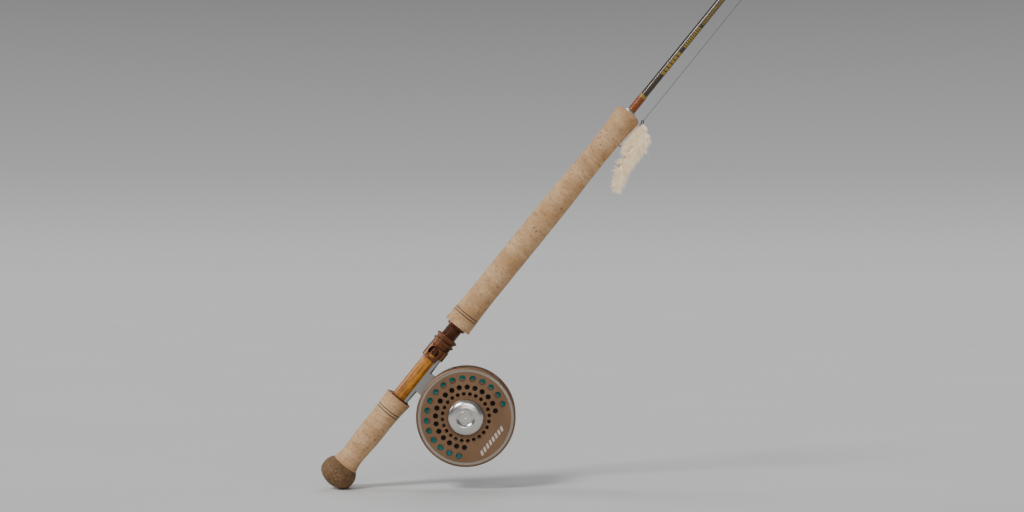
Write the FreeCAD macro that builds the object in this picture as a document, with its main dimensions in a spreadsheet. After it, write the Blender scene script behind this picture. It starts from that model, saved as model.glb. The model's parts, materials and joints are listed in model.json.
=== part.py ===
import FreeCAD, Part
import math
import operator
import os

import Sketcher
from FreeCAD import Placement, Rotation, Vector

# A two-handed fly rod in four pieces with a disc-drag fly reel, leaning on its butt knob.
# Origin: the point of the knob that touches the ground. +X is the way the rod leans, +Z is up.
# Rod pieces are drawn in the rod's own frame: Z runs along the rod from the butt, X points at the
# reel. Reel pieces are drawn face on: Z points out of the drag side, X and Y lie across the reel.

DOC = FreeCAD.newDocument("fly_rod_and_reel")

SIZES = {
    # the whole rod, millimetres and degrees
    "lean": 39.0,
    "rod_length": 3200,
    "rod_pieces": 4,
    "blank_start": 8,
    "blank_butt_radius": 4.35,
    "blank_tip_radius": 0.75,
    "blank_wall": 0.85,
    "ferrule_overlap": 55,
    "ferrule_play": 0.08,
    "glue_line": 0.05,
    # butt knob
    "knob_radius": 18.1,
    "knob_dome": 12.5,
    "knob_dome_edge": 9.8,
    "knob_band": 2.0,
    "knob_end": 25,
    "knob_neck": 13.6,
    # rear grip
    "rear_waist_radius": 11.5,
    "rear_waist_at": 37,
    "rear_belly_radius": 12.6,
    "rear_belly_at": 64,
    "rear_flare_radius": 12.45,
    "rear_flare_at": 80,
    "rear_rings_at": 91.9,
    "rear_end_radius": 14.1,
    "rear_end_at": 110,
    # accent rings let into both grips
    "accent_thickness": 1.0,
    "accent_spacing": 1.8,
    # reel seat
    "insert_radius": 8.1,
    "insert_start": 98,
    "insert_end": 165,
    "barrel_radius": 8.0,
    "barrel_end": 214,
    "collar_radius": 10,
    "collar_start": 200,
    "rear_hood_radius": 11.3,
    "rear_hood_start": 96.5,
    "rear_hood_end": 111.5,
    "foot_pocket_half_width": 6.2,
    "foot_pocket_reach": 9.8,
    "rear_foot_pocket_start": 104,
    "hood_start": 160,
    "hood_end": 174.9,
    "hood_radius": 10.4,
    "hood_bore": 8.3,
    "hood_nose_start": 165,
    "hood_nose_reach": 10.9,
    "hood_nose_half_width": 7.6,
    "hood_window_radius": 5.8,
    "hood_window_at": 168.2,
    "hood_window_angle": 105,
    "lock_bore": 8.06,
    "lock_skirt_radius": 10.3,
    "lock_flange_radius": 11.6,
    "lower_lock_start": 175,
    "upper_lock_start": 183.4,
    # fore grip
    "fore_start": 203,
    "fore_start_radius": 14.4,
    "fore_rings_at": 215.1,
    "fore_cylinder_radius": 12.9,
    "fore_cylinder_start": 252,
    "fore_cylinder_end": 340,
    "fore_waist_radius": 11.6,
    "fore_waist_at": 428,
    "fore_flare_radius": 13.6,
    "fore_flare_at": 474,
    "fore_end_at": 477,
    "fore_rim": 1.4,
    "check_radius": 6.6,
    "check_length": 3,
    # thread wraps
    "wrap_thickness": 0.42,
    "butt_wrap_end": 496,
    "butt_trim_end": 499.5,
    # line guides
    "stripping_guide_at": 750,
    "stripping_guide_height": 23.2,
    "stripping_ring_bore": 6.9,
    "stripping_ring_wall": 0.55,
    "stripping_frame_wall": 0.75,
    "stripping_ring_width": 2.4,
    "stripping_wire_radius": 0.8,
    "stripping_foot_spread": 9,
    "guide_wire_radius": 0.5,
    "guide_foot": 12,
    # reel
    "reel_along": 138.6,
    "reel_across": 63.6,
    "reel_radius": 49.5,
    "cage_inner": 46.0,
    "plate_inner_face": 13.0,
    "plate_outer_face": 17.0,
    "cage_front_face": 17.0,
    "cage_ring_depth": 3.0,
    "plate_recess_radius": 20.5,
    "plate_recess_depth": 0.8,
    "plate_edge_radius": 2.0,
    "face_groove_inner": 45.0,
    "face_groove_outer": 47.4,
    "face_groove_depth": 0.25,
    "outer_hole_circle": 38.6,
    "outer_hole_radius": 3.2,
    "middle_hole_circle": 30.0,
    "middle_hole_radius": 2.6,
    "inner_hole_circle": 23.4,
    "inner_hole_radius": 1.95,
    "hole_step": 15,
    "foot_half_width": 5.9,
    "foot_start": 105,
    "foot_end": 170.4,
    "foot_tip_reach": 9.2,
    "foot_root_reach": 10.1,
    "foot_edge_reach": 5.4,
    "foot_crown_radius": 10.5,
    "stem_start": 126.4,
    "stem_end": 149.2,
    "foot_screw_spread": 5,
    # spindle, hub and drag
    "spindle_radius": 2.5,
    "running_play": 0.03,
    "bearing_radius": 5.0,
    "hub_radius": 7.5,
    "hub_half_flat": 6.0,
    "hub_play": 0.05,
    "disc_outer": 18.5,
    "disc_thickness": 1.2,
    "disc_gap": 0.15,
    "housing_wall": 1.5,
    "housing_floor_face": 5.0,
    "drag_knob_radius": 18.1,
    # spool
    "spool_flange_radius": 45.4,
    "arbor_radius": 26.0,
    "arbor_wall": 1.5,
    "spool_back_face": 12.0,
    "flange_thickness": 1.1,
    "front_flange_face": 17.4,
    "front_flange_thickness": 2.0,
    "inner_window_inner": 27.2,
    "inner_window_outer": 32.8,
    "outer_window_inner": 37.6,
    "outer_window_outer": 41.8,
    "palming_rim": 3.2,
    "wide_hole_circle": 40.0,
    "wide_hole_radius": 3.25,
    "narrow_hole_circle": 31.4,
    "narrow_hole_radius": 3.2,
    "hub_hole_circle": 14.6,
    "hub_hole_radius": 3.3,
    "crank_circle": 38.0,
    "crank_pin_radius": 2.4,
    "backing_radius": 33.5,
    "line_radius": 42.0,
    # fly and leader
    "leader_radius": 0.25,
    "leader_across": 15.6,
    "fly_eye_at": 478.0,
    "hook_bend_at": 450.0,
    "hook_gape": 10.0,
    "hook_wire_radius": 0.5,
}


def make_sheet():
    """The driving sizes, each in a cell that bears its name."""
    sheet = DOC.addObject("Spreadsheet::Sheet", "sizes")
    for row, (name, value) in enumerate(SIZES.items(), start=1):
        sheet.set(f"A{row}", name.replace("_", " "))
        sheet.set(f"B{row}", str(value))
        sheet.setAlias(f"B{row}", name)
    DOC.recompute()


class Size:
    """A number worked out from the sheet, kept with the expression that gives it."""

    def __init__(self, text, value):
        self.text = text
        self.value = value

    def __add__(self, other):
        return combined(self, "+", other)

    def __radd__(self, other):
        return combined(other, "+", self)

    def __sub__(self, other):
        return combined(self, "-", other)

    def __rsub__(self, other):
        return combined(other, "-", self)

    def __mul__(self, other):
        return combined(self, "*", other)

    def __rmul__(self, other):
        return combined(other, "*", self)

    def __truediv__(self, other):
        return combined(self, "/", other)

    def __neg__(self):
        return combined(0, "-", self)


OPERATIONS = {
    "+": operator.add,
    "-": operator.sub,
    "*": operator.mul,
    "/": operator.truediv,
}


def sized(number):
    """A plain number as a Size; a Size stays as it is."""
    return number if isinstance(number, Size) else Size(f"({number})", float(number))


def combined(left, sign, right):
    """The Size that one arithmetic step gives."""
    left, right = sized(left), sized(right)
    return Size(f"({left.text} {sign} {right.text})", OPERATIONS[sign](left.value, right.value))


def size(name):
    """A cell of the sheet."""
    return Size(f"sizes.{name}", float(SIZES[name]))


def sine(angle):
    angle = sized(angle)
    return Size(f"sin({angle.text})", math.sin(math.radians(angle.value)))


def cosine(angle):
    angle = sized(angle)
    return Size(f"cos({angle.text})", math.cos(math.radians(angle.value)))


def root_of(number):
    return Size(f"sqrt({number.text})", math.sqrt(number.value))


def easing(run, rise):
    """Radius of the arc that leaves a straight line smoothly and rises by rise over run."""
    return (run * run + rise * rise) / (2 * rise)


# ---------------------------------------------------------------- frames


class Frame:
    """Where a sub-part's own axes lie: a base point and one turn about a fixed axis."""

    def __init__(self, base, axis, angle):
        self.base = [sized(part) for part in base]
        self.axis = axis
        self.angle = sized(angle)

    def placement(self):
        base = Vector(*[part.value for part in self.base])
        return Placement(base, Rotation(self.axis, self.angle.value))

    def bind(self, body):
        """Place a body and tie its place to the sheet."""
        body.Placement = self.placement()
        for letter, part in zip("xyz", self.base):
            body.setExpression(f"Placement.Base.{letter}", part.text)
        body.setExpression("Placement.Rotation.Angle", self.angle.text)


def rod_frame():
    """The rod's butt stands so that the knob's lowest point is the origin."""
    lean = size("lean")
    dome_centre = size("knob_radius") - size("knob_dome_edge")
    across = size("knob_dome") * sine(lean) + dome_centre * cosine(lean)
    up = dome_centre * sine(lean) - size("knob_dome") * cosine(lean) + size("knob_dome_edge")
    return Frame((-across, 0, up), Vector(0, 1, 0), lean)


def reel_frame_at():
    """The reel's centre, with Z out of the drag side."""
    rod = rod_frame()
    lean = size("lean")
    across, along = size("reel_across"), size("reel_along")
    x = rod.base[0] + across * cosine(lean) + along * sine(lean)
    z = rod.base[2] - across * sine(lean) + along * cosine(lean)
    return Frame((x, 0, z), Vector(1, 0, 0), 90)


# ---------------------------------------------------------------- drawing helpers


def new_body(label, frame):
    body = DOC.addObject("PartDesign::Body", label)
    body.Label = label
    frame.bind(body)
    return body


def new_sketch(body, name, plane_role, turn=0.0, lift=0.0):
    """A sketch on one of the body's origin planes, turned about its upright and lifted off it."""
    sketch = body.newObject("Sketcher::SketchObject", name)
    plane = next(p for p in body.Origin.OriginFeatures if p.Role == plane_role)
    sketch.AttachmentSupport = [(plane, "")]
    sketch.MapMode = "FlatFace"
    offset = Rotation(Vector(0, 1, 0), sized(turn).value)
    sketch.AttachmentOffset = Placement(Vector(0, 0, sized(lift).value), offset)
    if isinstance(lift, Size):
        sketch.setExpression("AttachmentOffset.Base.z", lift.text)
    return sketch


def bind_last(sketch, constraint, text):
    index = sketch.addConstraint(constraint)
    sketch.setExpression(f"Constraints[{index}]", text)


def hold_coordinate(sketch, kind, geometry, point, coordinate):
    """Hold one coordinate of a sketch point to the sheet."""
    axis = -2 if kind == "DistanceX" else -1
    if abs(coordinate.value) < 1e-9:
        sketch.addConstraint(Sketcher.Constraint("PointOnObject", geometry, point, axis))
    elif coordinate.value > 0:
        held = Sketcher.Constraint(kind, -1, 1, geometry, point, coordinate.value)
        bind_last(sketch, held, coordinate.text)
    else:
        held = Sketcher.Constraint(kind, geometry, point, -1, 1, -coordinate.value)
        bind_last(sketch, held, (-coordinate).text)


def hold_point(sketch, geometry, point, x, y):
    hold_coordinate(sketch, "DistanceX", geometry, point, sized(x))
    hold_coordinate(sketch, "DistanceY", geometry, point, sized(y))


def arc_between(start, end, radius):
    """An arc from start to end; a positive radius bulges to the right of the way it runs."""
    chord = end - start
    half = chord.Length / 2
    to_left = Vector(-chord.y, chord.x, 0).normalize()
    side = 1 if radius > 0 else -1
    away = math.sqrt(max(radius * radius - half * half, 0))
    centre = (start + end) * 0.5 + to_left * (side * away)
    first, last = (start, end) if side > 0 else (end, start)
    angles = [math.atan2(p.y - centre.y, p.x - centre.x) for p in (first, last)]
    circle = Part.Circle(centre, Vector(0, 0, 1), abs(radius))
    return Part.ArcOfCircle(circle, angles[0], angles[1])


def draw_outline(sketch, corners):
    """A closed outline. A corner is (x, y), or (x, y, radius) where the edge that follows is an arc."""
    points = [Vector(sized(c[0]).value, sized(c[1]).value, 0) for c in corners]
    starts = []
    ends = []
    for number, corner in enumerate(corners):
        start, end = points[number], points[(number + 1) % len(corners)]
        bend = sized(corner[2]) if len(corner) > 2 else None
        if bend is None:
            index = sketch.addGeometry(Part.LineSegment(start, end), False)
        else:
            index = sketch.addGeometry(arc_between(start, end, bend.value), False)
        backwards = bend is not None and bend.value < 0
        starts.append((index, 2 if backwards else 1))
        ends.append((index, 1 if backwards else 2))
    for number, corner in enumerate(corners):
        sketch.addConstraint(Sketcher.Constraint("Coincident", *ends[number - 1], *starts[number]))
        hold_point(sketch, *starts[number], corner[0], corner[1])
    for number, corner in enumerate(corners):
        if len(corner) > 2:
            bend = sized(corner[2])
            text = bend.text if bend.value > 0 else (-bend).text
            radius = Sketcher.Constraint("Radius", starts[number][0], abs(bend.value))
            bind_last(sketch, radius, text)


def draw_circle(sketch, x, y, radius):
    x, y, radius = sized(x), sized(y), sized(radius)
    circle = Part.Circle(Vector(x.value, y.value, 0), Vector(0, 0, 1), radius.value)
    index = sketch.addGeometry(circle, False)
    bind_last(sketch, Sketcher.Constraint("Radius", index, radius.value), radius.text)
    hold_point(sketch, index, 3, x, y)


def turned(label, frame, *outlines):
    """A sub-part turned about its own Z axis, from outlines of (radius, height) corners."""
    body = new_body(label, frame)
    sketch = new_sketch(body, f"{label}_outline", "XZ_Plane")
    for outline in outlines:
        draw_outline(sketch, outline)
    turning = body.newObject("PartDesign::Revolution", f"{label}_turning")
    turning.Profile = (sketch, [""])
    turning.ReferenceAxis = (sketch, ["V_Axis"])
    turning.Angle = 360
    DOC.recompute()
    return body


def tube(inner, outer, low, high):
    """The outline of a plain ring."""
    return [(inner, low), (outer, low), (outer, high), (inner, high)]


def cut(body, name, sketch, depth=None, reverse=False, both_ways=False):
    """A pocket that has to take something away."""
    before = body.Shape.Volume
    pocket = body.newObject("PartDesign::Pocket", name)
    pocket.Profile = (sketch, [""])
    pocket.Midplane = both_ways
    pocket.Reversed = reverse
    if depth is None:
        pocket.Type = "ThroughAll"
    else:
        depth = sized(depth)
        pocket.Type = "Length"
        pocket.Length = depth.value
        pocket.setExpression("Length", depth.text)
    DOC.recompute()
    if body.Shape.Volume >= before:
        raise ValueError(f"{body.Label}: {name} cuts nothing")
    return pocket


def repeated(body, feature, sketch, count, sweep):
    """The feature again and again round the sketch's own upright axis."""
    before = body.Shape.Volume
    pattern = body.newObject("PartDesign::PolarPattern", f"{feature.Name}_round")
    pattern.Originals = [feature]
    pattern.Axis = (sketch, ["N_Axis"])
    pattern.Angle = sweep
    pattern.Occurrences = count
    body.Tip = pattern
    DOC.recompute()
    if body.Shape.Volume >= before:
        raise ValueError(f"{body.Label}: {feature.Name} isn't repeated")


def hole_ring(body, name, circle, radius, first, step, count, below=None):
    """Round holes on a circle, from the angle first on, step degrees apart. They go right through,
    or up to the height below."""
    lift = 0.0 if below is None else below
    sketch = new_sketch(body, f"{name}_place", "XY_Plane", lift=lift)
    draw_circle(sketch, circle * cosine(first), circle * sine(first), radius)
    if below is None:
        pocket = cut(body, name, sketch, both_ways=True)
    else:
        pocket = cut(body, name, sketch, depth=10)
    if count > 1:
        full = abs(step * count - 360) < 1e-6
        repeated(body, pocket, sketch, count, 360 if full else step * (count - 1))


def sector(inner, outer, first, span):
    """The outline of a window between two radii, from the angle first on."""
    last = first + span
    return [
        (inner * cosine(first), inner * sine(first)),
        (outer * cosine(first), outer * sine(first), outer),
        (outer * cosine(last), outer * sine(last)),
        (inner * cosine(last), inner * sine(last), -inner),
    ]


def window_ring(body, name, window, floor, depth, count):
    """Equal windows all the way round, from a floor up."""
    sketch = new_sketch(body, f"{name}_place", "XY_Plane", lift=floor)
    draw_outline(sketch, window)
    pocket = cut(body, name, sketch, depth=depth, reverse=True)
    repeated(body, pocket, sketch, count, 360)


def shaped(label, frame, shape):
    """A sub-part whose shape is set with Part's own functions."""
    feature = DOC.addObject("Part::Feature", label)
    feature.Label = label
    feature.Shape = shape
    feature.Placement = frame.placement()
    return feature


# ---------------------------------------------------------------- rod blank


def section_length():
    pieces = size("rod_pieces")
    laps = (pieces - 1) * size("ferrule_overlap")
    return (size("rod_length") - size("blank_start") + laps) / pieces


def section_start(number):
    return size("blank_start") + number * (section_length() - size("ferrule_overlap"))


def taper_radius(along):
    """Radius of the lower end's taper line, which each piece's upper end meets."""
    fall = size("blank_butt_radius") - size("blank_tip_radius")
    return size("blank_butt_radius") - fall * along / size("rod_length")


def socket_radius(number, along):
    """Outside radius of an upper piece at its socket, sleeved over the piece below."""
    start = section_start(number)
    sleeve = taper_radius(start) + size("ferrule_play") + size("blank_wall")
    end = start + section_length()
    fall = sleeve - taper_radius(end)
    return sleeve - fall * (along - start) / section_length()


def blank_radius(along):
    """Outside radius of the assembled blank at a distance from the butt."""
    here = sized(along).value
    number = 0
    while number + 1 < SIZES["rod_pieces"] and here >= section_start(number + 1).value:
        number += 1
    return taper_radius(along) if number == 0 else socket_radius(number, along)


def blank_piece(number):
    """One piece of the blank: a tapered tube whose lower end is a socket for the piece below."""
    start = section_start(number)
    end = start + section_length()
    wall = size("blank_wall")
    last = number + 1 == SIZES["rod_pieces"]
    bore_end = start + section_length() / 2 if last else end
    tip = [(taper_radius(end), end), (0, end), (0, bore_end)] if last else [(taper_radius(end), end)]
    if number == 0:
        low = [(taper_radius(start) - wall, start), (taper_radius(start), start)]
    else:
        socket_end = start + size("ferrule_overlap") + 2
        play = size("ferrule_play")
        low = [
            (socket_radius(number, socket_end) - wall, socket_end),
            (taper_radius(socket_end) + play, socket_end),
            (taper_radius(start) + play, start),
            (socket_radius(number, start), start),
        ]
    bore = socket_radius(number, bore_end) if number else taper_radius(bore_end)
    turned(f"blank_{number + 1}", rod_frame(), low + tip + [(bore - wall, bore_end)])


# ---------------------------------------------------------------- handle


def glued_bore(along):
    """Radius of a piece's bore over the blank, with its glue line."""
    return taper_radius(sized(along)) + size("glue_line")


def make_butt_knob():
    """The rounded knob, with a short straight band where a holder's tube takes it."""
    radius, dome, edge = size("knob_radius"), size("knob_dome"), size("knob_dome_edge")
    inset = radius - edge
    crown = (inset * inset + dome * dome - edge * edge) / (2 * (dome - edge))
    reach = (crown - edge).value
    blend_across = crown * inset / reach
    blend_along = crown - crown * (crown - dome) / reach
    drop = radius - size("knob_neck")
    shoulder = dome + size("knob_band")
    back = easing(size("knob_end") - shoulder, drop)
    floor, end = size("blank_start"), size("knob_end")
    outline = [
        (0, 0, crown),
        (blend_across, blend_along, edge),
        (radius, dome),
        (radius, shoulder, back),
        (size("knob_neck"), end),
        (glued_bore(end), end),
        (glued_bore(floor), floor),
        (0, floor),
    ]
    turned("butt_knob", rod_frame(), outline)


def rear_flare(along):
    """Radius of the rear grip's flare, one arc that spans its rings and end piece."""
    run = sized(along) - size("rear_flare_at")
    whole_run = size("rear_end_at") - size("rear_flare_at")
    bend = easing(whole_run, size("rear_end_radius") - size("rear_flare_radius"))
    return size("rear_flare_radius") + run * run / (2 * bend)


def flare_bend():
    run = size("rear_end_at") - size("rear_flare_at")
    return easing(run, size("rear_end_radius") - size("rear_flare_radius"))


def make_rear_grip():
    start, end = size("knob_end"), size("rear_rings_at")
    waist_at, waist = size("rear_waist_at"), size("rear_waist_radius")
    belly_at, belly = size("rear_belly_at"), size("rear_belly_radius")
    middle = (waist_at + belly_at) / 2
    half_run, half_rise = middle - waist_at, (belly - waist) / 2
    outline = [
        (glued_bore(start), start),
        (size("knob_neck"), start, -easing(waist_at - start, size("knob_neck") - waist)),
        (waist, waist_at, -easing(half_run, half_rise)),
        ((waist + belly) / 2, middle, easing(half_run, half_rise)),
        (belly, belly_at),
        (size("rear_flare_radius"), size("rear_flare_at"), -flare_bend()),
        (rear_flare(end), end),
        (glued_bore(end), end),
    ]
    turned("rear_grip", rod_frame(), outline)


def ring_stack(name, start, radius_at):
    """Two thin accent rings with a cork disc between them."""
    thickness, spacing = size("accent_thickness"), size("accent_spacing")
    second = start + thickness + spacing
    rings = [
        tube(glued_bore(low), radius_at(low + thickness / 2), low, low + thickness)
        for low in (start, second)
    ]
    turned(f"{name}_accent_rings", rod_frame(), *rings)
    low = start + thickness
    disc = tube(glued_bore(low), radius_at(low + spacing / 2), low, second)
    turned(f"{name}_cork_spacer", rod_frame(), disc)
    return second + thickness


def make_rear_grip_end():
    """The cork above the rear rings, counterbored for the rear hood."""
    start = ring_stack("rear", size("rear_rings_at"), rear_flare)
    seat = size("rear_hood_start")
    end = size("rear_end_at")
    seat_radius = size("rear_hood_radius") + size("glue_line")
    outline = [
        (glued_bore(start), start),
        (rear_flare(start), start, -flare_bend()),
        (size("rear_end_radius"), end),
        (seat_radius, end),
        (seat_radius, seat),
        (glued_bore(seat), seat),
    ]
    turned("rear_grip_end", rod_frame(), outline)


def box_outline(x_low, x_high, half_width):
    return [(x_low, -half_width), (x_high, -half_width), (x_high, half_width), (x_low, half_width)]


def make_rear_hood():
    """The fixed hood: a cup let into the cork, with a pocket for the reel foot's tail."""
    low, high, radius = size("rear_hood_start"), size("rear_hood_end"), size("rear_hood_radius")
    insert = size("insert_radius") + size("glue_line")
    floor = size("insert_start")
    outline = [
        (glued_bore(low), low),
        (radius, low),
        (radius, high - 0.6),
        (radius - 0.6, high),
        (insert, high),
        (insert, floor),
        (glued_bore(floor), floor),
    ]
    body = turned("rear_hood", rod_frame(), outline)
    start = size("rear_foot_pocket_start")
    sketch = new_sketch(body, "tail_pocket_place", "XY_Plane", lift=start)
    crown, half = size("foot_crown_radius") + 0.2, size("foot_pocket_half_width")
    shoulder = root_of(crown * crown - half * half)
    pocket = [(insert - 3, -half), (shoulder, -half, crown), (shoulder, half), (insert - 3, half)]
    draw_outline(sketch, pocket)
    cut(body, "tail_pocket", sketch, depth=high - start, reverse=True)


def make_reel_seat():
    """The wooden insert, the threaded barrel beyond it and the collar against the fore grip."""
    start, end = size("insert_start"), size("insert_end")
    turned("seat_insert", rod_frame(), tube(glued_bore(start), size("insert_radius"), start, end))
    barrel, top = size("barrel_radius"), size("barrel_end")
    turned("seat_barrel", rod_frame(), tube(glued_bore(end), barrel, end, top))
    low, high = size("collar_start"), size("fore_start")
    radius, bevel = size("collar_radius"), 0.5
    outline = [
        (barrel + size("glue_line"), low),
        (radius - bevel, low),
        (radius, low + bevel),
        (radius, high),
        (barrel + size("glue_line"), high),
    ]
    turned("seat_collar", rod_frame(), outline)


def make_sliding_hood():
    """The hood that slides on the seat and holds the foot's front end, with two round windows."""
    low, high, radius = size("hood_start"), size("hood_end"), size("hood_radius")
    bevel = 0.6
    outline = [
        (0, low),
        (radius - bevel, low),
        (radius, low + bevel),
        (radius, high - bevel),
        (radius - bevel, high),
        (0, high),
    ]
    body = turned("sliding_hood", rod_frame(), outline)
    nose_start = size("hood_nose_start")
    nose = new_sketch(body, "nose_outline", "XY_Plane", lift=nose_start)
    half, reach = size("hood_nose_half_width"), size("hood_nose_reach")
    corner = 2.5
    edge = [(0, -half), (reach - corner, -half, corner), (reach, corner - half)]
    mirrored = [(reach, half - corner, corner), (reach - corner, half), (0, half)]
    draw_outline(nose, edge + mirrored)
    pad = body.newObject("PartDesign::Pad", "nose")
    pad.Profile = (nose, [""])
    pad.Length = (high - nose_start).value
    pad.setExpression("Length", (high - nose_start).text)
    DOC.recompute()
    bore = new_sketch(body, "bore_place", "XY_Plane")
    draw_circle(bore, 0, 0, size("hood_bore"))
    cut(body, "bore", bore, both_ways=True)
    pocket = new_sketch(body, "foot_pocket_place", "XY_Plane")
    pocket_half = size("foot_pocket_half_width")
    draw_outline(pocket, box_outline(0, size("foot_pocket_reach"), pocket_half))
    cut(body, "foot_pocket", pocket, both_ways=True)
    mouth = new_sketch(body, "mouth_place", "XY_Plane", lift=low)
    draw_outline(mouth, box_outline(size("foot_edge_reach"), radius + 5, size("hood_bore")))
    cut(body, "mouth", mouth, depth=nose_start - low, reverse=True)
    for number, side in enumerate((1, -1)):
        turn = side * SIZES["hood_window_angle"]
        window = new_sketch(body, f"window_{number}_place", "YZ_Plane", turn=turn)
        draw_circle(window, 0, size("hood_window_at"), size("hood_window_radius"))
        cut(body, f"window_{number}", window, depth=2 * radius, reverse=True)


def lock_ring(label, start, skirt_below):
    """A knurled ring on the barrel's thread: a grooved skirt and a notched flange."""
    bore, skirt, flange = size("lock_bore"), size("lock_skirt_radius"), size("lock_flange_radius")
    bevel = 0.4
    groove = 0.5
    outline = [(bore, start), (skirt - bevel, start), (skirt, start + bevel)]
    along = start + bevel
    for _ in range(skirt_below):
        outline.append((skirt, along + 0.6))
        outline.append((skirt - groove, along + 0.8))
        outline.append((skirt - groove, along + 1.2))
        outline.append((skirt, along + 1.4))
        along = along + 1.4
    flange_low = along + 0.4
    flange_high = flange_low + 2.2
    outline += [
        (skirt, flange_low),
        (flange - bevel, flange_low),
        (flange, flange_low + bevel),
        (flange, flange_high - bevel),
        (flange - bevel, flange_high),
        (skirt - bevel, flange_high),
        (skirt - bevel, flange_high + 0.6),
        (bore, flange_high + 0.6),
    ]
    body = turned(label, rod_frame(), outline)
    notch = new_sketch(body, f"{label}_notch_place", "XY_Plane", lift=flange_low)
    draw_circle(notch, flange + 0.15, 0, 0.5)
    pocket = cut(body, f"{label}_notch", notch, depth=flange_high - flange_low, reverse=True)
    repeated(body, pocket, notch, 36, 360)


def make_fore_grip():
    """The long upper grip: a base piece, accent rings, and the main cork with its cylinder."""
    start, rings = size("fore_start"), size("fore_rings_at")
    cylinder, cylinder_start = size("fore_cylinder_radius"), size("fore_cylinder_start")
    slope = easing(cylinder_start - start, size("fore_start_radius") - cylinder)

    def radius_at(along):
        run = cylinder_start - along
        return cylinder + run * run / (2 * slope)

    barrel = size("barrel_radius") + size("glue_line")
    barrel_end = size("barrel_end")
    base = [
        (barrel, start),
        (size("fore_start_radius"), start, -slope),
        (radius_at(rings), rings),
        (glued_bore(rings), rings),
        (glued_bore(rings), barrel_end),
        (barrel, barrel_end),
    ]
    turned("fore_grip_base", rod_frame(), base)
    main = ring_stack("fore", rings, radius_at)
    waist, waist_at = size("fore_waist_radius"), size("fore_waist_at")
    cylinder_end = size("fore_cylinder_end")
    middle = (cylinder_end + waist_at) / 2
    half_run, half_fall = middle - cylinder_end, (cylinder - waist) / 2
    flare, flare_at = size("fore_flare_radius"), size("fore_flare_at")
    rim, end = size("fore_rim"), size("fore_end_at")
    outline = [
        (glued_bore(main), main),
        (radius_at(main), main, -slope),
        (cylinder, cylinder_start),
        (cylinder, cylinder_end, easing(half_run, half_fall)),
        ((cylinder + waist) / 2, middle, -easing(half_run, half_fall)),
        (waist, waist_at, -easing(flare_at - waist_at, flare - waist)),
        (flare, flare_at, 2.6),
        (flare - rim, end),
        (size("check_radius"), end - 0.8),
        (glued_bore(end), end - 0.8),
    ]
    turned("fore_grip", rod_frame(), outline)


def make_winding_check():
    low = size("fore_end_at") - 0.8
    high = low + size("check_length")
    radius = size("check_radius") - size("glue_line")
    outline = [
        (glued_bore(low), low),
        (radius, low),
        (radius, low + 1.2),
        (radius - 1.5, high),
        (glued_bore(high), high),
    ]
    turned("winding_check", rod_frame(), outline)


# ---------------------------------------------------------------- guides and wraps


def wrap_outline(start, length):
    """A varnished thread wrap round the blank, with its ends run down."""
    thickness, run_down = size("wrap_thickness"), 0.6
    end = start + length
    return [
        (blank_radius(start), start),
        (blank_radius(start + run_down) + thickness, start + run_down),
        (blank_radius(end - run_down) + thickness, end - run_down),
        (blank_radius(end), end),
    ]


def make_butt_wrap():
    start = size("fore_end_at") - 0.8 + size("check_length")
    end, trim_end = size("butt_wrap_end"), size("butt_trim_end")
    thickness = size("wrap_thickness")
    wrap = tube(taper_radius(start), taper_radius(start) + thickness, start, end)
    wrap[3] = (taper_radius(end), end)
    wrap[2] = (taper_radius(end) + thickness, end)
    turned("butt_wrap", rod_frame(), wrap)
    trim = [
        (taper_radius(end), end),
        (taper_radius(end) + thickness, end),
        (taper_radius(trim_end) + thickness, trim_end - 0.6),
        (taper_radius(trim_end), trim_end),
    ]
    turned("butt_wrap_trim", rod_frame(), trim)


# Snake guides of each upper piece: distance from the butt and the loop's inside radius.
SNAKE_GUIDES = {
    1: [(965, 4.0), (1150, 3.8), (1330, 3.6), (1500, 3.4)],
    2: [(1700, 3.2), (1880, 3.1), (2050, 3.0), (2220, 2.9)],
    3: [(2455, 2.8), (2600, 2.7), (2735, 2.6), (2860, 2.6), (2975, 2.5), (3090, 2.5)],
}


def rod_along(start, end, radius):
    """A round rod between two points."""
    return Part.makeCylinder(radius, (end - start).Length, start, end - start)


def fused(pieces):
    return pieces[0].multiFuse(pieces[1:]).removeSplitter()


def snake_guide(along, loop):
    """One turn of wire that stands on the blank, with a foot run out along it each way."""
    wire = SIZES["guide_wire_radius"]
    length = 2.4 * loop
    turn = loop + wire
    low = along - length / 2
    heel = 1.05 * wire
    touch = blank_radius(low - SIZES["guide_foot"]).value + heel + 0.02
    helix = Part.makeHelix(length, length, turn)
    section = Part.Wire(Part.Circle(Vector(turn, 0, 0), Vector(0, turn, length / math.tau), wire).toShape())
    coil = Part.Wire(helix.Edges).makePipeShell([section], True, True)
    coil.rotate(Vector(0, 0, 0), Vector(0, 0, 1), 180)
    coil.translate(Vector(touch + turn, 0, low))
    pieces = [coil]
    for foot_at, way in ((low, -1), (along + length / 2, 1)):
        start = Vector(touch, 0, foot_at - way * 0.7)
        toe = Vector(touch, 0, foot_at + way * SIZES["guide_foot"])
        pieces.append(rod_along(start, toe, heel))
    return fused(pieces)


def make_snake_guides(number):
    guides = [snake_guide(along, loop) for along, loop in SNAKE_GUIDES[number]]
    shaped(f"snake_guides_{number + 1}", rod_frame(), Part.makeCompound(guides))


def guide_wraps(along, loop):
    """The two wraps over a snake guide's feet."""
    half = 1.2 * loop + 1.5
    length = size("guide_foot") - 0.5
    return [wrap_outline(sized(along) + half, length), wrap_outline(along - half - length, length)]


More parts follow.
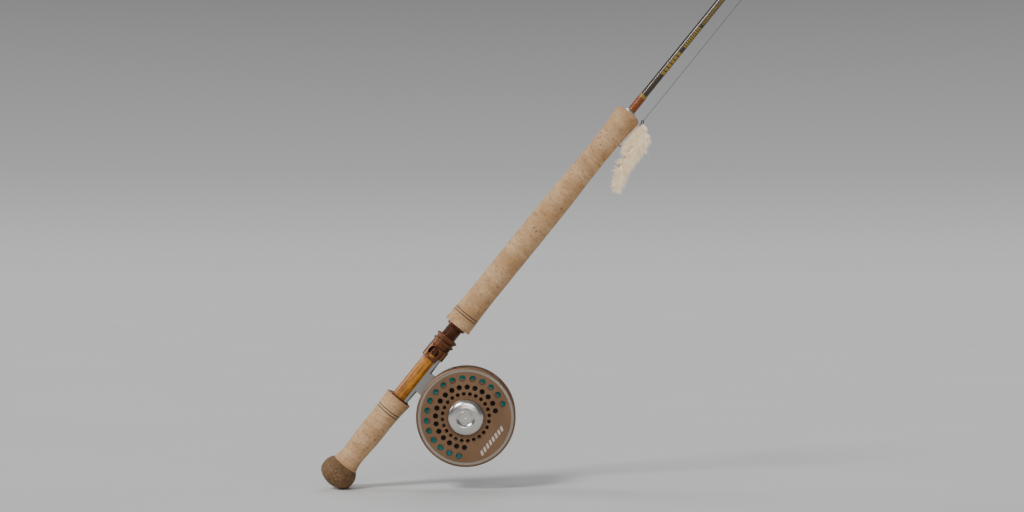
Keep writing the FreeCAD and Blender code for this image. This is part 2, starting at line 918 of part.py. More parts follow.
def make_thread_wraps(number):
    """Every thread wrap of one piece: over its socket, its guides' feet and below its top end."""
    wraps = []
    if number == 0:
        foot = size("guide_foot")
        place = size("stripping_guide_at")
        spread = size("stripping_foot_spread")
        wraps.append(wrap_outline(place + spread, foot))
        wraps.append(wrap_outline(place - spread - foot, foot))
    else:
        wraps.append(wrap_outline(section_start(number) + 1, size("ferrule_overlap") / 2))
        for along, loop in SNAKE_GUIDES[number]:
            wraps += guide_wraps(along, loop)
    turned(f"thread_wraps_{number + 1}", rod_frame(), *wraps)


def make_stripping_guide():
    """The first guide: a lined ring on three legs, with a foot each way along the blank."""
    along, height = SIZES["stripping_guide_at"], SIZES["stripping_guide_height"]
    bore, liner = SIZES["stripping_ring_bore"], SIZES["stripping_ring_wall"]
    frame, width = SIZES["stripping_frame_wall"], SIZES["stripping_ring_width"]
    wire, spread = SIZES["stripping_wire_radius"], SIZES["stripping_foot_spread"]
    base = Vector(height, 0, along - width / 2)
    axis = Vector(0, 0, 1)

    def disc(radius):
        return Part.makeCylinder(radius, width, base, axis)

    shaped("stripping_guide_liner", rod_frame(), disc(bore + liner).cut(disc(bore)))
    outer = bore + liner + frame
    pieces = [disc(outer)]
    for side in (1, -1):
        shoulder = Vector(height - outer * 0.35, side * outer * 0.93, along)
        ankle = Vector(blank_radius(along).value + wire, side * 0.9, along - spread - 1)
        pieces.append(rod_along(shoulder, ankle, wire))
        pieces.append(Part.makeSphere(wire, shoulder))
        pieces.append(Part.makeSphere(wire, ankle))
    crown = Vector(height - outer + 0.2, 0, along + width / 2 - 0.9)
    toe = Vector(blank_radius(along).value + wire, 0, along + spread + 1)
    pieces.append(rod_along(crown, toe, wire))
    pieces.append(Part.makeSphere(wire, toe))
    for way in (1, -1):
        foot = Part.makeBox(1.4, 2.6, SIZES["guide_foot"])
        low = along + spread if way > 0 else along - spread - SIZES["guide_foot"]
        foot.translate(Vector(blank_radius(along).value + 0.1, -1.3, low))
        pieces.append(foot)
    shaped("stripping_guide", rod_frame(), fused(pieces).cut(disc(bore + liner)))


def make_tip_top():
    """The end guide: a tube over the rod's tip and a wire loop."""
    end = SIZES["rod_length"]
    wire, loop = SIZES["guide_wire_radius"], 2.8
    inner = SIZES["blank_tip_radius"] + 0.25
    outer = inner + 0.35
    length = 11.0
    tube_base = Vector(0, 0, end - length)
    sleeve = Part.makeCylinder(outer, length + 1.0, tube_base)
    bore = Part.makeCylinder(inner, length + 0.2, tube_base)
    tilt = Vector(-math.sin(math.radians(30)), 0, math.cos(math.radians(30)))
    centre = Vector(outer + loop * 0.86, 0, end + 1.8)
    hoop = Part.makeTorus(loop + wire, wire, centre, tilt)
    shaped("tip_top", rod_frame(), fused([sleeve, hoop]).cut(bore))


# ---------------------------------------------------------------- reel frame and foot

# Openings of the reel's cage between its pillars: first angle and span, in degrees.
CAGE_WINDOWS = [(56, 50), (-54, 102), (-138, 70), (164, 44)]


def make_reel_frame():
    """The back plate with its rim, and the cage that carries the front ring."""
    inner, outer = size("cage_inner"), size("reel_radius")
    back, face = size("plate_inner_face"), size("plate_outer_face")
    groove = face - size("face_groove_depth")
    recess = face - size("plate_recess_depth")
    front = -size("cage_front_face")
    bevel, edge = 0.5, size("plate_edge_radius")
    outline = [
        (size("spindle_radius"), back),
        (inner, back),
        (inner, front),
        (outer - bevel, front),
        (outer, front + bevel),
        (outer, face - edge, edge),
        (outer - edge, face),
        (size("face_groove_outer"), face),
        (size("face_groove_outer"), groove),
        (size("face_groove_inner"), groove),
        (size("face_groove_inner"), face),
        (size("plate_recess_radius"), face),
        (size("plate_recess_radius"), recess),
        (size("spindle_radius"), recess),
    ]
    body = turned("reel_frame", reel_frame_at(), outline)
    for number, (first, span) in enumerate(CAGE_WINDOWS):
        cut_cage_window(body, number, first, span)
    step = SIZES["hole_step"]
    hole_ring(body, "outer_hole", size("outer_hole_circle"), size("outer_hole_radius"), 20, step, 17)
    hole_ring(body, "middle_hole", size("middle_hole_circle"), size("middle_hole_radius"), 12.4, step, 18)
    hole_ring(body, "inner_hole", size("inner_hole_circle"), size("inner_hole_radius"), 5, step, 24)
    hole_ring(body, "drag_pin_hole", size("plate_recess_radius") - 9, sized(1.05), 30, 120, 3)
    radial = new_sketch(body, "foot_screw_place", "YZ_Plane", turn=180 - SIZES["lean"])
    for side in (1, -1):
        draw_circle(radial, side * size("foot_screw_spread"), 0, 1.55)
    cut(body, "foot_screw_hole", radial, depth=outer + 1, reverse=True)
    heads = new_sketch(body, "foot_screw_head_place", "YZ_Plane", turn=180 - SIZES["lean"])
    for side in (1, -1):
        draw_circle(heads, side * size("foot_screw_spread"), 0, 2.6)
    cut(body, "foot_screw_head_hole", heads, depth=inner + 1.6, reverse=True)


def cut_cage_window(body, number, first, span):
    """One opening in the cage wall, turned through its span."""
    before = body.Shape.Volume
    sketch = new_sketch(body, f"window_{number}_outline", "XZ_Plane", turn=first)
    inner, outer = size("cage_inner") - 1.5, size("reel_radius") + 2
    low = size("cage_ring_depth") - size("cage_front_face")
    draw_outline(sketch, tube(inner, outer, low, size("plate_inner_face") - 3))
    groove = body.newObject("PartDesign::Groove", f"window_{number}")
    groove.Profile = (sketch, [""])
    groove.ReferenceAxis = (sketch, ["V_Axis"])
    groove.Angle = span
    DOC.recompute()
    if body.Shape.Volume >= before:
        raise ValueError(f"cage window {number} cuts nothing")


def make_reel_foot():
    """The foot that the reel seat clamps: a saddle plate with a stem up to the cage."""
    body = new_body("reel_foot", rod_frame())
    side = new_sketch(body, "foot_outline", "XZ_Plane")
    low, tip, root = size("foot_edge_reach"), size("foot_tip_reach"), size("foot_root_reach")
    reach = size("reel_across") - size("reel_radius") + 5
    outline = [
        (low, size("foot_start")),
        (tip, size("foot_start")),
        (root, size("stem_start") - 1),
        (root + 0.4, size("stem_start")),
        (reach, size("stem_start")),
        (reach, size("stem_end")),
        (root + 0.4, size("stem_end")),
        (root, size("stem_end") + 1),
        (tip, size("foot_end")),
        (low, size("foot_end")),
    ]
    draw_outline(side, outline)
    pad = body.newObject("PartDesign::Pad", "foot_pad")
    pad.Profile = (side, [""])
    pad.Midplane = True
    pad.Length = 2 * SIZES["foot_half_width"]
    pad.setExpression("Length", (2 * size("foot_half_width")).text)
    DOC.recompute()
    for end, low, high in (("rear", "foot_start", "stem_start"), ("front", "stem_end", "foot_end")):
        crown = new_sketch(body, f"{end}_crown_place", "XY_Plane", lift=size(low))
        draw_outline(crown, box_outline(-15, 15, 15))
        draw_circle(crown, 0, 0, size("foot_crown_radius"))
        cut(body, f"{end}_crown", crown, depth=size(high) - size(low), reverse=True)
    saddle = new_sketch(body, "saddle_place", "XY_Plane")
    draw_circle(saddle, 0, 0, size("insert_radius") + size("glue_line"))
    cut(body, "saddle", saddle, both_ways=True)
    rim = new_sketch(body, "rim_place", "XZ_Plane")
    draw_circle(rim, size("reel_across"), size("reel_along"), size("reel_radius") + 0.02)
    cut(body, "rim_seat", rim, both_ways=True)
    screws = new_sketch(body, "foot_screw_place", "YZ_Plane", lift=size("foot_tip_reach"))
    for way in (1, -1):
        draw_circle(screws, 0, size("reel_along") + way * size("foot_screw_spread"), 1.55)
    cut(body, "foot_screw_hole", screws, depth=20, reverse=True)


def make_foot_screws():
    """Two screws from inside the cage into the stem."""
    along = SIZES["reel_along"]
    head_at = SIZES["reel_across"] - SIZES["cage_inner"] - 1.6
    screws = []
    for way in (1, -1):
        place = along + way * SIZES["foot_screw_spread"]
        shank = Part.makeCylinder(1.5, 6.6, Vector(head_at, 0, place), Vector(-1, 0, 0))
        head = Part.makeCylinder(2.5, 1.5, Vector(head_at, 0, place), Vector(1, 0, 0))
        socket = Part.makeCylinder(1.1, 1.0, Vector(head_at + 0.6, 0, place), Vector(1, 0, 0))
        screws.append(shank.fuse(head).cut(socket).removeSplitter())
    shaped("foot_screws", rod_frame(), Part.makeCompound(screws))


# ---------------------------------------------------------------- spindle, hub and drag

HUB_BACK = 12.6
HUB_SHOULDER = 2.8
HUB_FRONT = -15.0
SPINDLE_FRONT = -18.0
SPINDLE_BACK = 21.0


def make_spindle():
    radius, play = size("spindle_radius"), size("glue_line")
    flange = 5.5
    back = size("plate_inner_face")
    outline = [
        (0, SPINDLE_FRONT),
        (radius - 0.5, SPINDLE_FRONT),
        (radius, SPINDLE_FRONT + 0.5),
        (radius, SPINDLE_FRONT + 1.2),
        (radius - 0.5, SPINDLE_FRONT + 1.2),
        (radius - 0.5, SPINDLE_FRONT + 2),
        (radius, SPINDLE_FRONT + 2),
        (radius, back - 0.3),
        (flange, back - 0.3),
        (flange, back),
        (radius - play, back),
        (radius - play, SPINDLE_BACK),
        (0, SPINDLE_BACK),
    ]
    turned("spindle", reel_frame_at(), outline)


def make_hub():
    """The drag hub: round where the discs sit, six-sided where the spool slides on."""
    bore, radius = size("bearing_radius"), size("hub_radius")
    body = turned("drag_hub", reel_frame_at(), tube(bore, radius, HUB_SHOULDER, HUB_BACK - 0.2))
    sketch = new_sketch(body, "hexagon_outline", "XY_Plane", lift=sized(HUB_FRONT))
    draw_outline(sketch, hexagon(size("hub_half_flat")))
    pad = body.newObject("PartDesign::Pad", "hexagon")
    pad.Profile = (sketch, [""])
    pad.Length = HUB_SHOULDER - HUB_FRONT
    DOC.recompute()
    inside = new_sketch(body, "hub_bore_place", "XY_Plane")
    draw_circle(inside, 0, 0, bore)
    cut(body, "hub_bore", inside, both_ways=True)
    shaft, play = size("spindle_radius"), size("running_play")
    bearings = [tube(shaft + play, bore, low, low + 4) for low in (HUB_FRONT + 0.5, HUB_BACK - 4.7)]
    turned("spool_bearings", reel_frame_at(), *bearings)
    turned("roller_clutch", reel_frame_at(), tube(shaft + play, bore, -6, 3))


def hexagon(half_flat):
    """The corners of a hexagon, from half its width across the flats."""
    corner = half_flat / cosine(30)
    return [(corner * cosine(60 * turn), corner * sine(60 * turn)) for turn in range(6)]


def make_drag():
    """The sealed disc drag: housing, fixed and turning discs, pressure plate, spring and pins."""
    floor, back = size("housing_floor_face"), size("plate_inner_face")
    outer, wall = size("disc_outer"), size("housing_wall")
    passage = size("hub_radius") + 0.5
    housing = [
        (passage, floor - wall),
        (outer + wall, floor - wall),
        (outer + wall, back),
        (outer, back),
        (outer, floor),
        (passage, floor),
    ]
    turned("drag_housing", reel_frame_at(), housing)
    thickness, gap = size("disc_thickness"), size("disc_gap")
    pitch = thickness + gap
    fixed = [tube(passage + 0.2, outer, low, low + thickness) for low in (floor, floor + 2 * pitch)]
    turned("brake_discs", reel_frame_at(), *fixed)
    turning = []
    for layer in (1, 3):
        low = floor + layer * pitch
        turning.append(tube(size("hub_radius"), outer - 0.8, low, low + thickness))
    turned("friction_discs", reel_frame_at(), *turning)
    plate = floor + 4 * pitch
    turned("pressure_plate", reel_frame_at(), tube(passage + 0.2, outer - 0.3, plate, plate + thickness))
    spring_low = plate + thickness
    spring = [
        (14.0, spring_low),
        (14.4, spring_low + 0.4),
        (9.4, spring_low + 1.25),
        (9.0, spring_low + 0.85),
    ]
    turned("drag_spring", reel_frame_at(), spring)
    make_drag_pins(spring_low + 1.3)


def make_drag_pins(low):
    """Three pins that carry the knob's push through the back plate to the spring."""
    circle = SIZES["plate_recess_radius"] - 9
    high = SIZES["plate_outer_face"] - SIZES["plate_recess_depth"] + 0.15
    pins = []
    for turn in range(3):
        angle = math.radians(30 + 120 * turn)
        foot = Vector(circle * math.cos(angle), circle * math.sin(angle), low.value)
        pins.append(Part.makeCylinder(1.0, high - low.value, foot))
    shaped("drag_pins", reel_frame_at(), Part.makeCompound(pins))


def make_drag_knob():
    """The turned knob on the reel's back: a bevelled skirt, a domed crown and a dished centre."""
    radius = size("drag_knob_radius")
    low = size("plate_outer_face") - size("plate_recess_depth") + 0.25
    bore = size("spindle_radius") + size("ferrule_play")
    skirt_top = low + 3.6
    crown = low + 7.6
    outline = [
        (bore, low),
        (radius - 0.6, low),
        (radius, low + 0.6),
        (radius, skirt_top, 7.5),
        (radius - 6.2, crown),
        (radius - 8.2, crown + 0.3),
        (radius - 9.0, crown, -6),
        (7.0, crown - 1.4),
        (7.0, crown - 2.0),
        (6.4, crown - 2.0),
        (6.4, crown - 0.9),
        (5.9, crown - 0.5),
        (0, crown - 0.4),
        (0, SPINDLE_BACK + 0.3),
        (bore, SPINDLE_BACK + 0.3),
    ]
    turned("drag_knob", reel_frame_at(), outline)


# ---------------------------------------------------------------- spool

CRANK_ANGLE = -90


def make_spool():
    """The spool in one piece: hub, arbor, pierced flanges and palming rim."""
    back, thin = size("spool_back_face"), size("flange_thickness")
    front = -size("front_flange_face")
    outside = front - size("front_flange_thickness")
    arbor, wall, flange = size("arbor_radius"), size("arbor_wall"), size("spool_flange_radius")
    rim, rim_depth = size("reel_radius"), 1.2
    hub = size("hub_radius") + 2.3
    outline = [
        (4.2, outside),
        (4.2, HUB_SHOULDER - 0.4),
        (hub, HUB_SHOULDER - 0.4),
        (hub, front),
        (arbor - wall, front),
        (arbor - wall, back),
        (flange, back),
        (flange, back - thin),
        (arbor, back - thin),
        (arbor, front),
        (rim - 0.4, front),
        (rim, front - 0.4),
        (rim, outside - rim_depth / 2, 0.8),
        (rim - 0.8, outside - rim_depth),
        (rim - size("palming_rim") + 0.6, outside - rim_depth),
        (rim - size("palming_rim") - 0.6, outside),
    ]
    body = turned("spool", reel_frame_at(), outline)
    drive = new_sketch(body, "drive_outline", "XY_Plane")
    draw_outline(drive, hexagon(size("hub_half_flat") + size("hub_play")))
    cut(body, "drive_hole", drive, both_ways=True)
    wide_circle, wide = size("wide_hole_circle"), size("wide_hole_radius")
    narrow_circle, narrow = size("narrow_hole_circle"), size("narrow_hole_radius")
    for side, middle in enumerate((0, 180)):
        hole_ring(body, f"wide_hole_{side}", wide_circle, wide, middle - 70, 14, 11, front)
        hole_ring(body, f"narrow_hole_{side}", narrow_circle, narrow, middle - 64, 16, 9, front)
    hole_ring(body, "hub_hole", size("hub_hole_circle"), size("hub_hole_radius"), 22.5, 45, 8, front)
    circle, pin = size("crank_circle"), size("crank_pin_radius")
    hole_ring(body, "crank_hole", circle, pin, CRANK_ANGLE, 180, 2, front)
    for name, first in (("outer", 30), ("inner", 22.4)):
        low, high = size(f"{name}_window_inner"), size(f"{name}_window_outer")
        window_ring(body, f"{name}_window", sector(low, high, first, 40), back - thin, thin, 8)


def make_windings():
    """Backing on the arbor and the fly line over it."""
    low = size("running_play") - size("front_flange_face")
    high = size("spool_back_face") - size("flange_thickness") - size("running_play")
    arbor, backing = size("arbor_radius") + size("running_play"), size("backing_radius")
    turned("backing", reel_frame_at(), tube(arbor, backing, low, high))
    turned("fly_line", reel_frame_at(), tube(backing, size("line_radius"), low, high))


def crank_frame(turn):
    """A frame on the crank circle, its Z still out of the drag side."""
    reel = reel_frame_at()
    circle = size("crank_circle")
    x = reel.base[0] + circle * cosine(CRANK_ANGLE + turn)
    z = reel.base[2] + circle * sine(CRANK_ANGLE + turn)
    return Frame((x, 0, z), Vector(1, 0, 0), 90)


def make_crank():
    """The crank pin, the handle knob that spins on it and the counterweight across from them."""
    frame = crank_frame(0)
    face = -(size("front_flange_face") + size("front_flange_thickness"))
    seat = -size("front_flange_face")
    pin = size("crank_pin_radius")
    top = face - 25
    post = [
        (0, seat),
        (pin, seat),
        (pin, face),
        (pin + 1.6, face),
        (pin + 1.6, face - 0.8),
        (pin, face - 0.8),
        (pin, top),
        (pin + 1.7, top),
        (pin + 1.7, top - 1.2),
        (pin + 1.2, top - 1.7),
        (0, top - 1.7),
    ]
    turned("crank_pin", frame, post)
    bore = pin + 0.08
    low, high = face - 1.1, top + 0.3
    knob = [
        (bore, low),
        (4.6, low),
        (5.2, low - 0.6),
        (5.2, low - 2.0, -22),
        (6.2, high + 6, 9),
        (7.2, high + 2.4, 2.2),
        (5.9, high),
        (bore, high),
    ]
    turned("handle_knob", frame, knob)
    weight = [
        (0, seat),
        (pin, seat),
        (pin, face),
        (5.6, face),
        (5.6, face - 2.2),
        (4.9, face - 2.9),
        (0, face - 2.9),
    ]
    turned("counterweight", crank_frame(180), weight)


def make_spool_release():
    """The cap on the spool's face and the button in it that frees the spool."""
    face = -(size("front_flange_face") + size("front_flange_thickness"))
    outline = [
        (4.2, face),
        (10.5, face),
        (10.5, face - 1.8),
        (9.6, face - 2.9),
        (4.2, face - 2.9),
    ]
    turned("spool_cap", reel_frame_at(), outline)
    top = face - 4.4
    button = [(0, face - 0.9), (4.0, face - 0.9), (4.0, top + 0.5), (3.5, top), (0, top)]
    turned("release_button", reel_frame_at(), button)
    turned("latch_clip", reel_frame_at(), tube(2.6, 5.4, -17.0, -16.3))


# ---------------------------------------------------------------- leader and fly


def make_leader():
    """A taut leader from the fly's eye to a knot on the stripping guide."""
    across = SIZES["leader_across"]
    knot_length = 4.0
    ring_face = SIZES["stripping_guide_at"] - SIZES["stripping_ring_width"] / 2
    eye = Vector(across, 0, SIZES["fly_eye_at"] + 1.7)
    end = Vector(across, 0, ring_face - knot_length)
    shaped("leader", rod_frame(), rod_along(eye, end, SIZES["leader_radius"]))
    knot = Part.makeCylinder(1.0, knot_length, end)
    shaped("leader_knot", rod_frame(), knot)


def make_hook():
    """The fly's hook, its shank along the grip and its point caught in the cork."""
    wire, gape = SIZES["hook_wire_radius"], SIZES["hook_gape"]
    across = SIZES["leader_across"]
    eye_ring = 1.2
    shank_low = SIZES["hook_bend_at"]
    shank_high = SIZES["fly_eye_at"] - eye_ring
    shank = rod_along(Vector(across, 0, shank_low), Vector(across, 0, shank_high), wire)
    eye = Part.makeTorus(eye_ring, wire, Vector(across, 0, SIZES["fly_eye_at"]), Vector(0, 1, 0))
    towards = Vector(-0.57, 0.82, 0).normalize()
    centre = Vector(across, 0, shank_low) + towards * (gape / 2)
    bottom = centre + Vector(0, 0, -gape / 2)
    far = centre + towards * (gape / 2)
    bend = Part.Arc(Vector(across, 0, shank_low), bottom, far).toShape()
    section = Part.Wire(Part.Circle(bend.Vertexes[0].Point, Vector(0, 0, 1), wire).toShape())
    curve = Part.Wire(bend).makePipeShell([section], True, True)
    point = Part.makeCone(wire, 0.05, 8, far, Vector(0, 0, 1))
    shaped("fly_hook", rod_frame(), fused([shank, eye, curve, point]))


# The fur strip's line from the fly's head to its tail: across and along the rod, and half its width.
FUR_STRIP = [
    (18.4, 472, 2.4),
    (22.2, 464, 5.2),
    (24.6, 456, 6.4),
    (25.6, 445, 6.2),
    (27.6, 429, 5.8),
    (33.2, 417, 4.9),
    (40.6, 406, 2.4),
]


def make_fly_fur():
    """The fly's fur strip as one plain closed solid."""
    pieces = []
    stations = [(Vector(across, 0, along), half) for across, along, half in FUR_STRIP]
    for (start, r_start), (end, r_end) in zip(stations, stations[1:]):
        way = end - start
        pieces.append(Part.makeCone(r_start, r_end, way.Length, start, way))
    pieces += [Part.makeSphere(half, place) for place, half in stations]
    shaped("fly_fur", rod_frame(), fused(pieces))


# ---------------------------------------------------------------- build, check and write


def build_rod():
    for number in range(SIZES["rod_pieces"]):
        blank_piece(number)
    make_butt_knob()
    make_rear_grip()
    make_rear_grip_end()
    make_rear_hood()
    make_reel_seat()
    make_sliding_hood()
    lock_ring("lock_ring_lower", size("lower_lock_start"), 3)
    lock_ring("lock_ring_upper", size("upper_lock_start"), 1)
    make_fore_grip()
    make_winding_check()
    make_butt_wrap()
    make_stripping_guide()
    for number in range(SIZES["rod_pieces"]):
        make_thread_wraps(number)
        if number in SNAKE_GUIDES:
            make_snake_guides(number)
    make_tip_top()


def build_reel():
    make_reel_frame()
    make_reel_foot()
    make_foot_screws()
    make_spindle()
    make_hub()
    make_drag()
    make_drag_knob()
    make_spool()
    make_windings()
    make_crank()
    make_spool_release()


def build_fly():
    make_leader()
    make_hook()
    make_fly_fur()


def check_document():
    """Stop if any object failed or any sub-part's shape isn't sound."""
    for item in DOC.Objects:
        if "Invalid" in item.State or "Error" in item.State:
            raise ValueError(f"{item.Label} failed: {item.State}")
    for item in sub_parts():
        if item.Shape.isNull() or not item.Shape.isValid():
            raise ValueError(f"{item.Label} has no sound shape")


def sub_parts():
    return [item for item in DOC.Objects if item.TypeId in ("PartDesign::Body", "Part::Feature")]


def write_parts():
    os.makedirs("parts", exist_ok=True)
    for item in sub_parts():
        item.Shape.exportStep(f"parts/{item.Label}.step")


make_sheet()
build_rod()
build_reel()
build_fly()
DOC.recompute()
check_document()
write_parts()
print(f"{len(sub_parts())} sub-parts written")
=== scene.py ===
import json
import math
import random

import bpy
import numpy as np
from mathutils import Matrix, Vector, noise


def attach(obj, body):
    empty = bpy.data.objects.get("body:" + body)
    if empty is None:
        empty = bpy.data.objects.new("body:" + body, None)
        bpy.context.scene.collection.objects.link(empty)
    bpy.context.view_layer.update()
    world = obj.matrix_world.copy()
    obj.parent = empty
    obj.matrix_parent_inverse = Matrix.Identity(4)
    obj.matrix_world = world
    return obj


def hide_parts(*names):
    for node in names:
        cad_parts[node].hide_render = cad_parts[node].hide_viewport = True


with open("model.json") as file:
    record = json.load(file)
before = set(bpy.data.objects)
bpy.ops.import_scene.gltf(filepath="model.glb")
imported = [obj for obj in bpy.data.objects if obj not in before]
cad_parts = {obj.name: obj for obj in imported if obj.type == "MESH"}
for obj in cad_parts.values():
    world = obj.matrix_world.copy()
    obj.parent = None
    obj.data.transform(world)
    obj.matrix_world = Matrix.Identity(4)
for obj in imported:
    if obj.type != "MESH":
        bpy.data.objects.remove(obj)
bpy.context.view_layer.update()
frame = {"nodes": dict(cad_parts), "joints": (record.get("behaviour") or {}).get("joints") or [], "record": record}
MM = 0.001
NODES = frame["nodes"]
MOUNTS = {mount["name"]: mount for mount in frame["record"]["mounts"]}
JOINTS = {joint["name"]: joint for joint in frame["joints"]}

# The rod's own frame: X towards the reel, Z along the rod from the butt. The reel's own frame:
# X right and Y up as seen from its drag side, Z out of that side. Places in both are written in
# millimetres and times MM. The upper grip's middle is this far along the rod, in metres.
GRIP_MIDDLE = 0.296
ROD_WAY = Vector(MOUNTS["upper_hand_grip"]["axis"]).normalized()
ROD_BASE = Vector(MOUNTS["upper_hand_grip"]["pos_m"]) - ROD_WAY * GRIP_MIDDLE
LEAN = math.atan2(ROD_WAY.x, ROD_WAY.z)
ROD = Matrix.Translation(ROD_BASE) @ Matrix.Rotation(LEAN, 4, "Y")
REEL_CENTRE = Vector(JOINTS["spool_spin"]["pos_m"])
REEL = Matrix.Translation(REEL_CENTRE) @ Matrix.Rotation(math.radians(90), 4, "X")


# ---------------------------------------------------------------- mesh helpers


def new_mesh(name, points, faces, material, body, smooth_angle):
    """A mesh piece that rides on a body."""
    data = bpy.data.meshes.new(name)
    data.from_pydata([tuple(p) for p in points], [], faces)
    data.validate()
    data.polygons.foreach_set("use_smooth", [True] * len(data.polygons))
    data.set_sharp_from_angle(angle=math.radians(smooth_angle))
    data.materials.append(material)
    piece = bpy.data.objects.new(name, data)
    bpy.context.scene.collection.objects.link(piece)
    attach(piece, body)
    return piece


def stand_for(node):
    """The piece is shown in place of a CAD node."""
    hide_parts(node)


def ring_faces(rings, sides, closed=False):
    """Quads between rings of points; closed also joins the last ring to the first."""
    faces = []
    spans = rings if closed else rings - 1
    for ring in range(spans):
        for side in range(sides):
            nearby = (side + 1) % sides
            here, there = ring * sides, ((ring + 1) % rings) * sides
            faces.append((here + side, here + nearby, there + nearby, there + side))
    return faces


def lathe_points(profile, sides, lift=None):
    """Points of a profile of (radius, height) in millimetres turned about Z, in metres.
    lift(angle, radius, height) adds to the radius."""
    points = []
    for radius, height in profile:
        for side in range(sides):
            angle = 2 * math.pi * side / sides
            r = radius + (lift(angle, radius, height) if lift else 0.0)
            points.append(Vector((r * math.cos(angle), r * math.sin(angle), height)) * MM)
    return points


def lathe(name, profile, place, material, body, sides, lift=None, smooth_angle=35):
    """A turned piece, from a profile that comes back to its start, as a tube's does."""
    points = [place @ p for p in lathe_points(profile, sides, lift)]
    faces = ring_faces(len(profile), sides, closed=True)
    return new_mesh(name, points, faces, material, body, smooth_angle)


def smooth_curve(stations, step):
    """Radius by height through stations of (height, radius), evenly sampled, with no overshoot."""
    heights = np.array([s[0] for s in stations], float)
    radii = np.array([s[1] for s in stations], float)
    slopes = np.diff(radii) / np.diff(heights)
    tangents = np.zeros(len(heights))
    tangents[0], tangents[-1] = slopes[0], slopes[-1]
    for i in range(1, len(heights) - 1):
        before, after = slopes[i - 1], slopes[i]
        tangents[i] = 0.0 if before * after <= 0 else 2 * before * after / (before + after)
    made = []
    count = max(2, int(round((heights[-1] - heights[0]) / step)))
    for h in np.linspace(heights[0], heights[-1], count + 1):
        i = min(int(np.searchsorted(heights, h, "right")) - 1, len(heights) - 2)
        gap = heights[i + 1] - heights[i]
        t = (h - heights[i]) / gap
        value = (
            (2 * t**3 - 3 * t**2 + 1) * radii[i]
            + (t**3 - 2 * t**2 + t) * gap * tangents[i]
            + (3 * t**2 - 2 * t**3) * radii[i + 1]
            + (t**3 - t**2) * gap * tangents[i + 1]
        )
        made.append((float(value), float(h)))
    return made


def tube_faces(rings, sides):
    """Quads between rings of points, with both ends closed."""
    faces = ring_faces(rings, sides)
    last = (rings - 1) * sides
    faces.append(tuple(reversed(range(sides))))
    faces.append(tuple(last + side for side in range(sides)))
    return faces


def tube_along(path, radii, sides):
    """Points and faces of a round tube through path, with a radius at each point."""
    points = []
    side_way = None
    for i, here in enumerate(path):
        ahead = path[min(i + 1, len(path) - 1)] - path[max(i - 1, 0)]
        ahead.normalize()
        if side_way is None:
            seed = Vector((0, 1, 0)) if abs(ahead.y) < 0.9 else Vector((1, 0, 0))
            side_way = ahead.cross(seed).normalized()
        side_way = (side_way - ahead * side_way.dot(ahead)).normalized()
        up_way = ahead.cross(side_way)
        for side in range(sides):
            angle = 2 * math.pi * side / sides
            points.append(here + (side_way * math.cos(angle) + up_way * math.sin(angle)) * radii[i])
    return points, tube_faces(len(path), sides)


def joined(parts):
    """Several (points, faces) as one."""
    points, faces = [], []
    for some_points, some_faces in parts:
        start = len(points)
        points += some_points
        faces += [tuple(start + i for i in face) for face in some_faces]
    return points, faces


# ---------------------------------------------------------------- material helpers


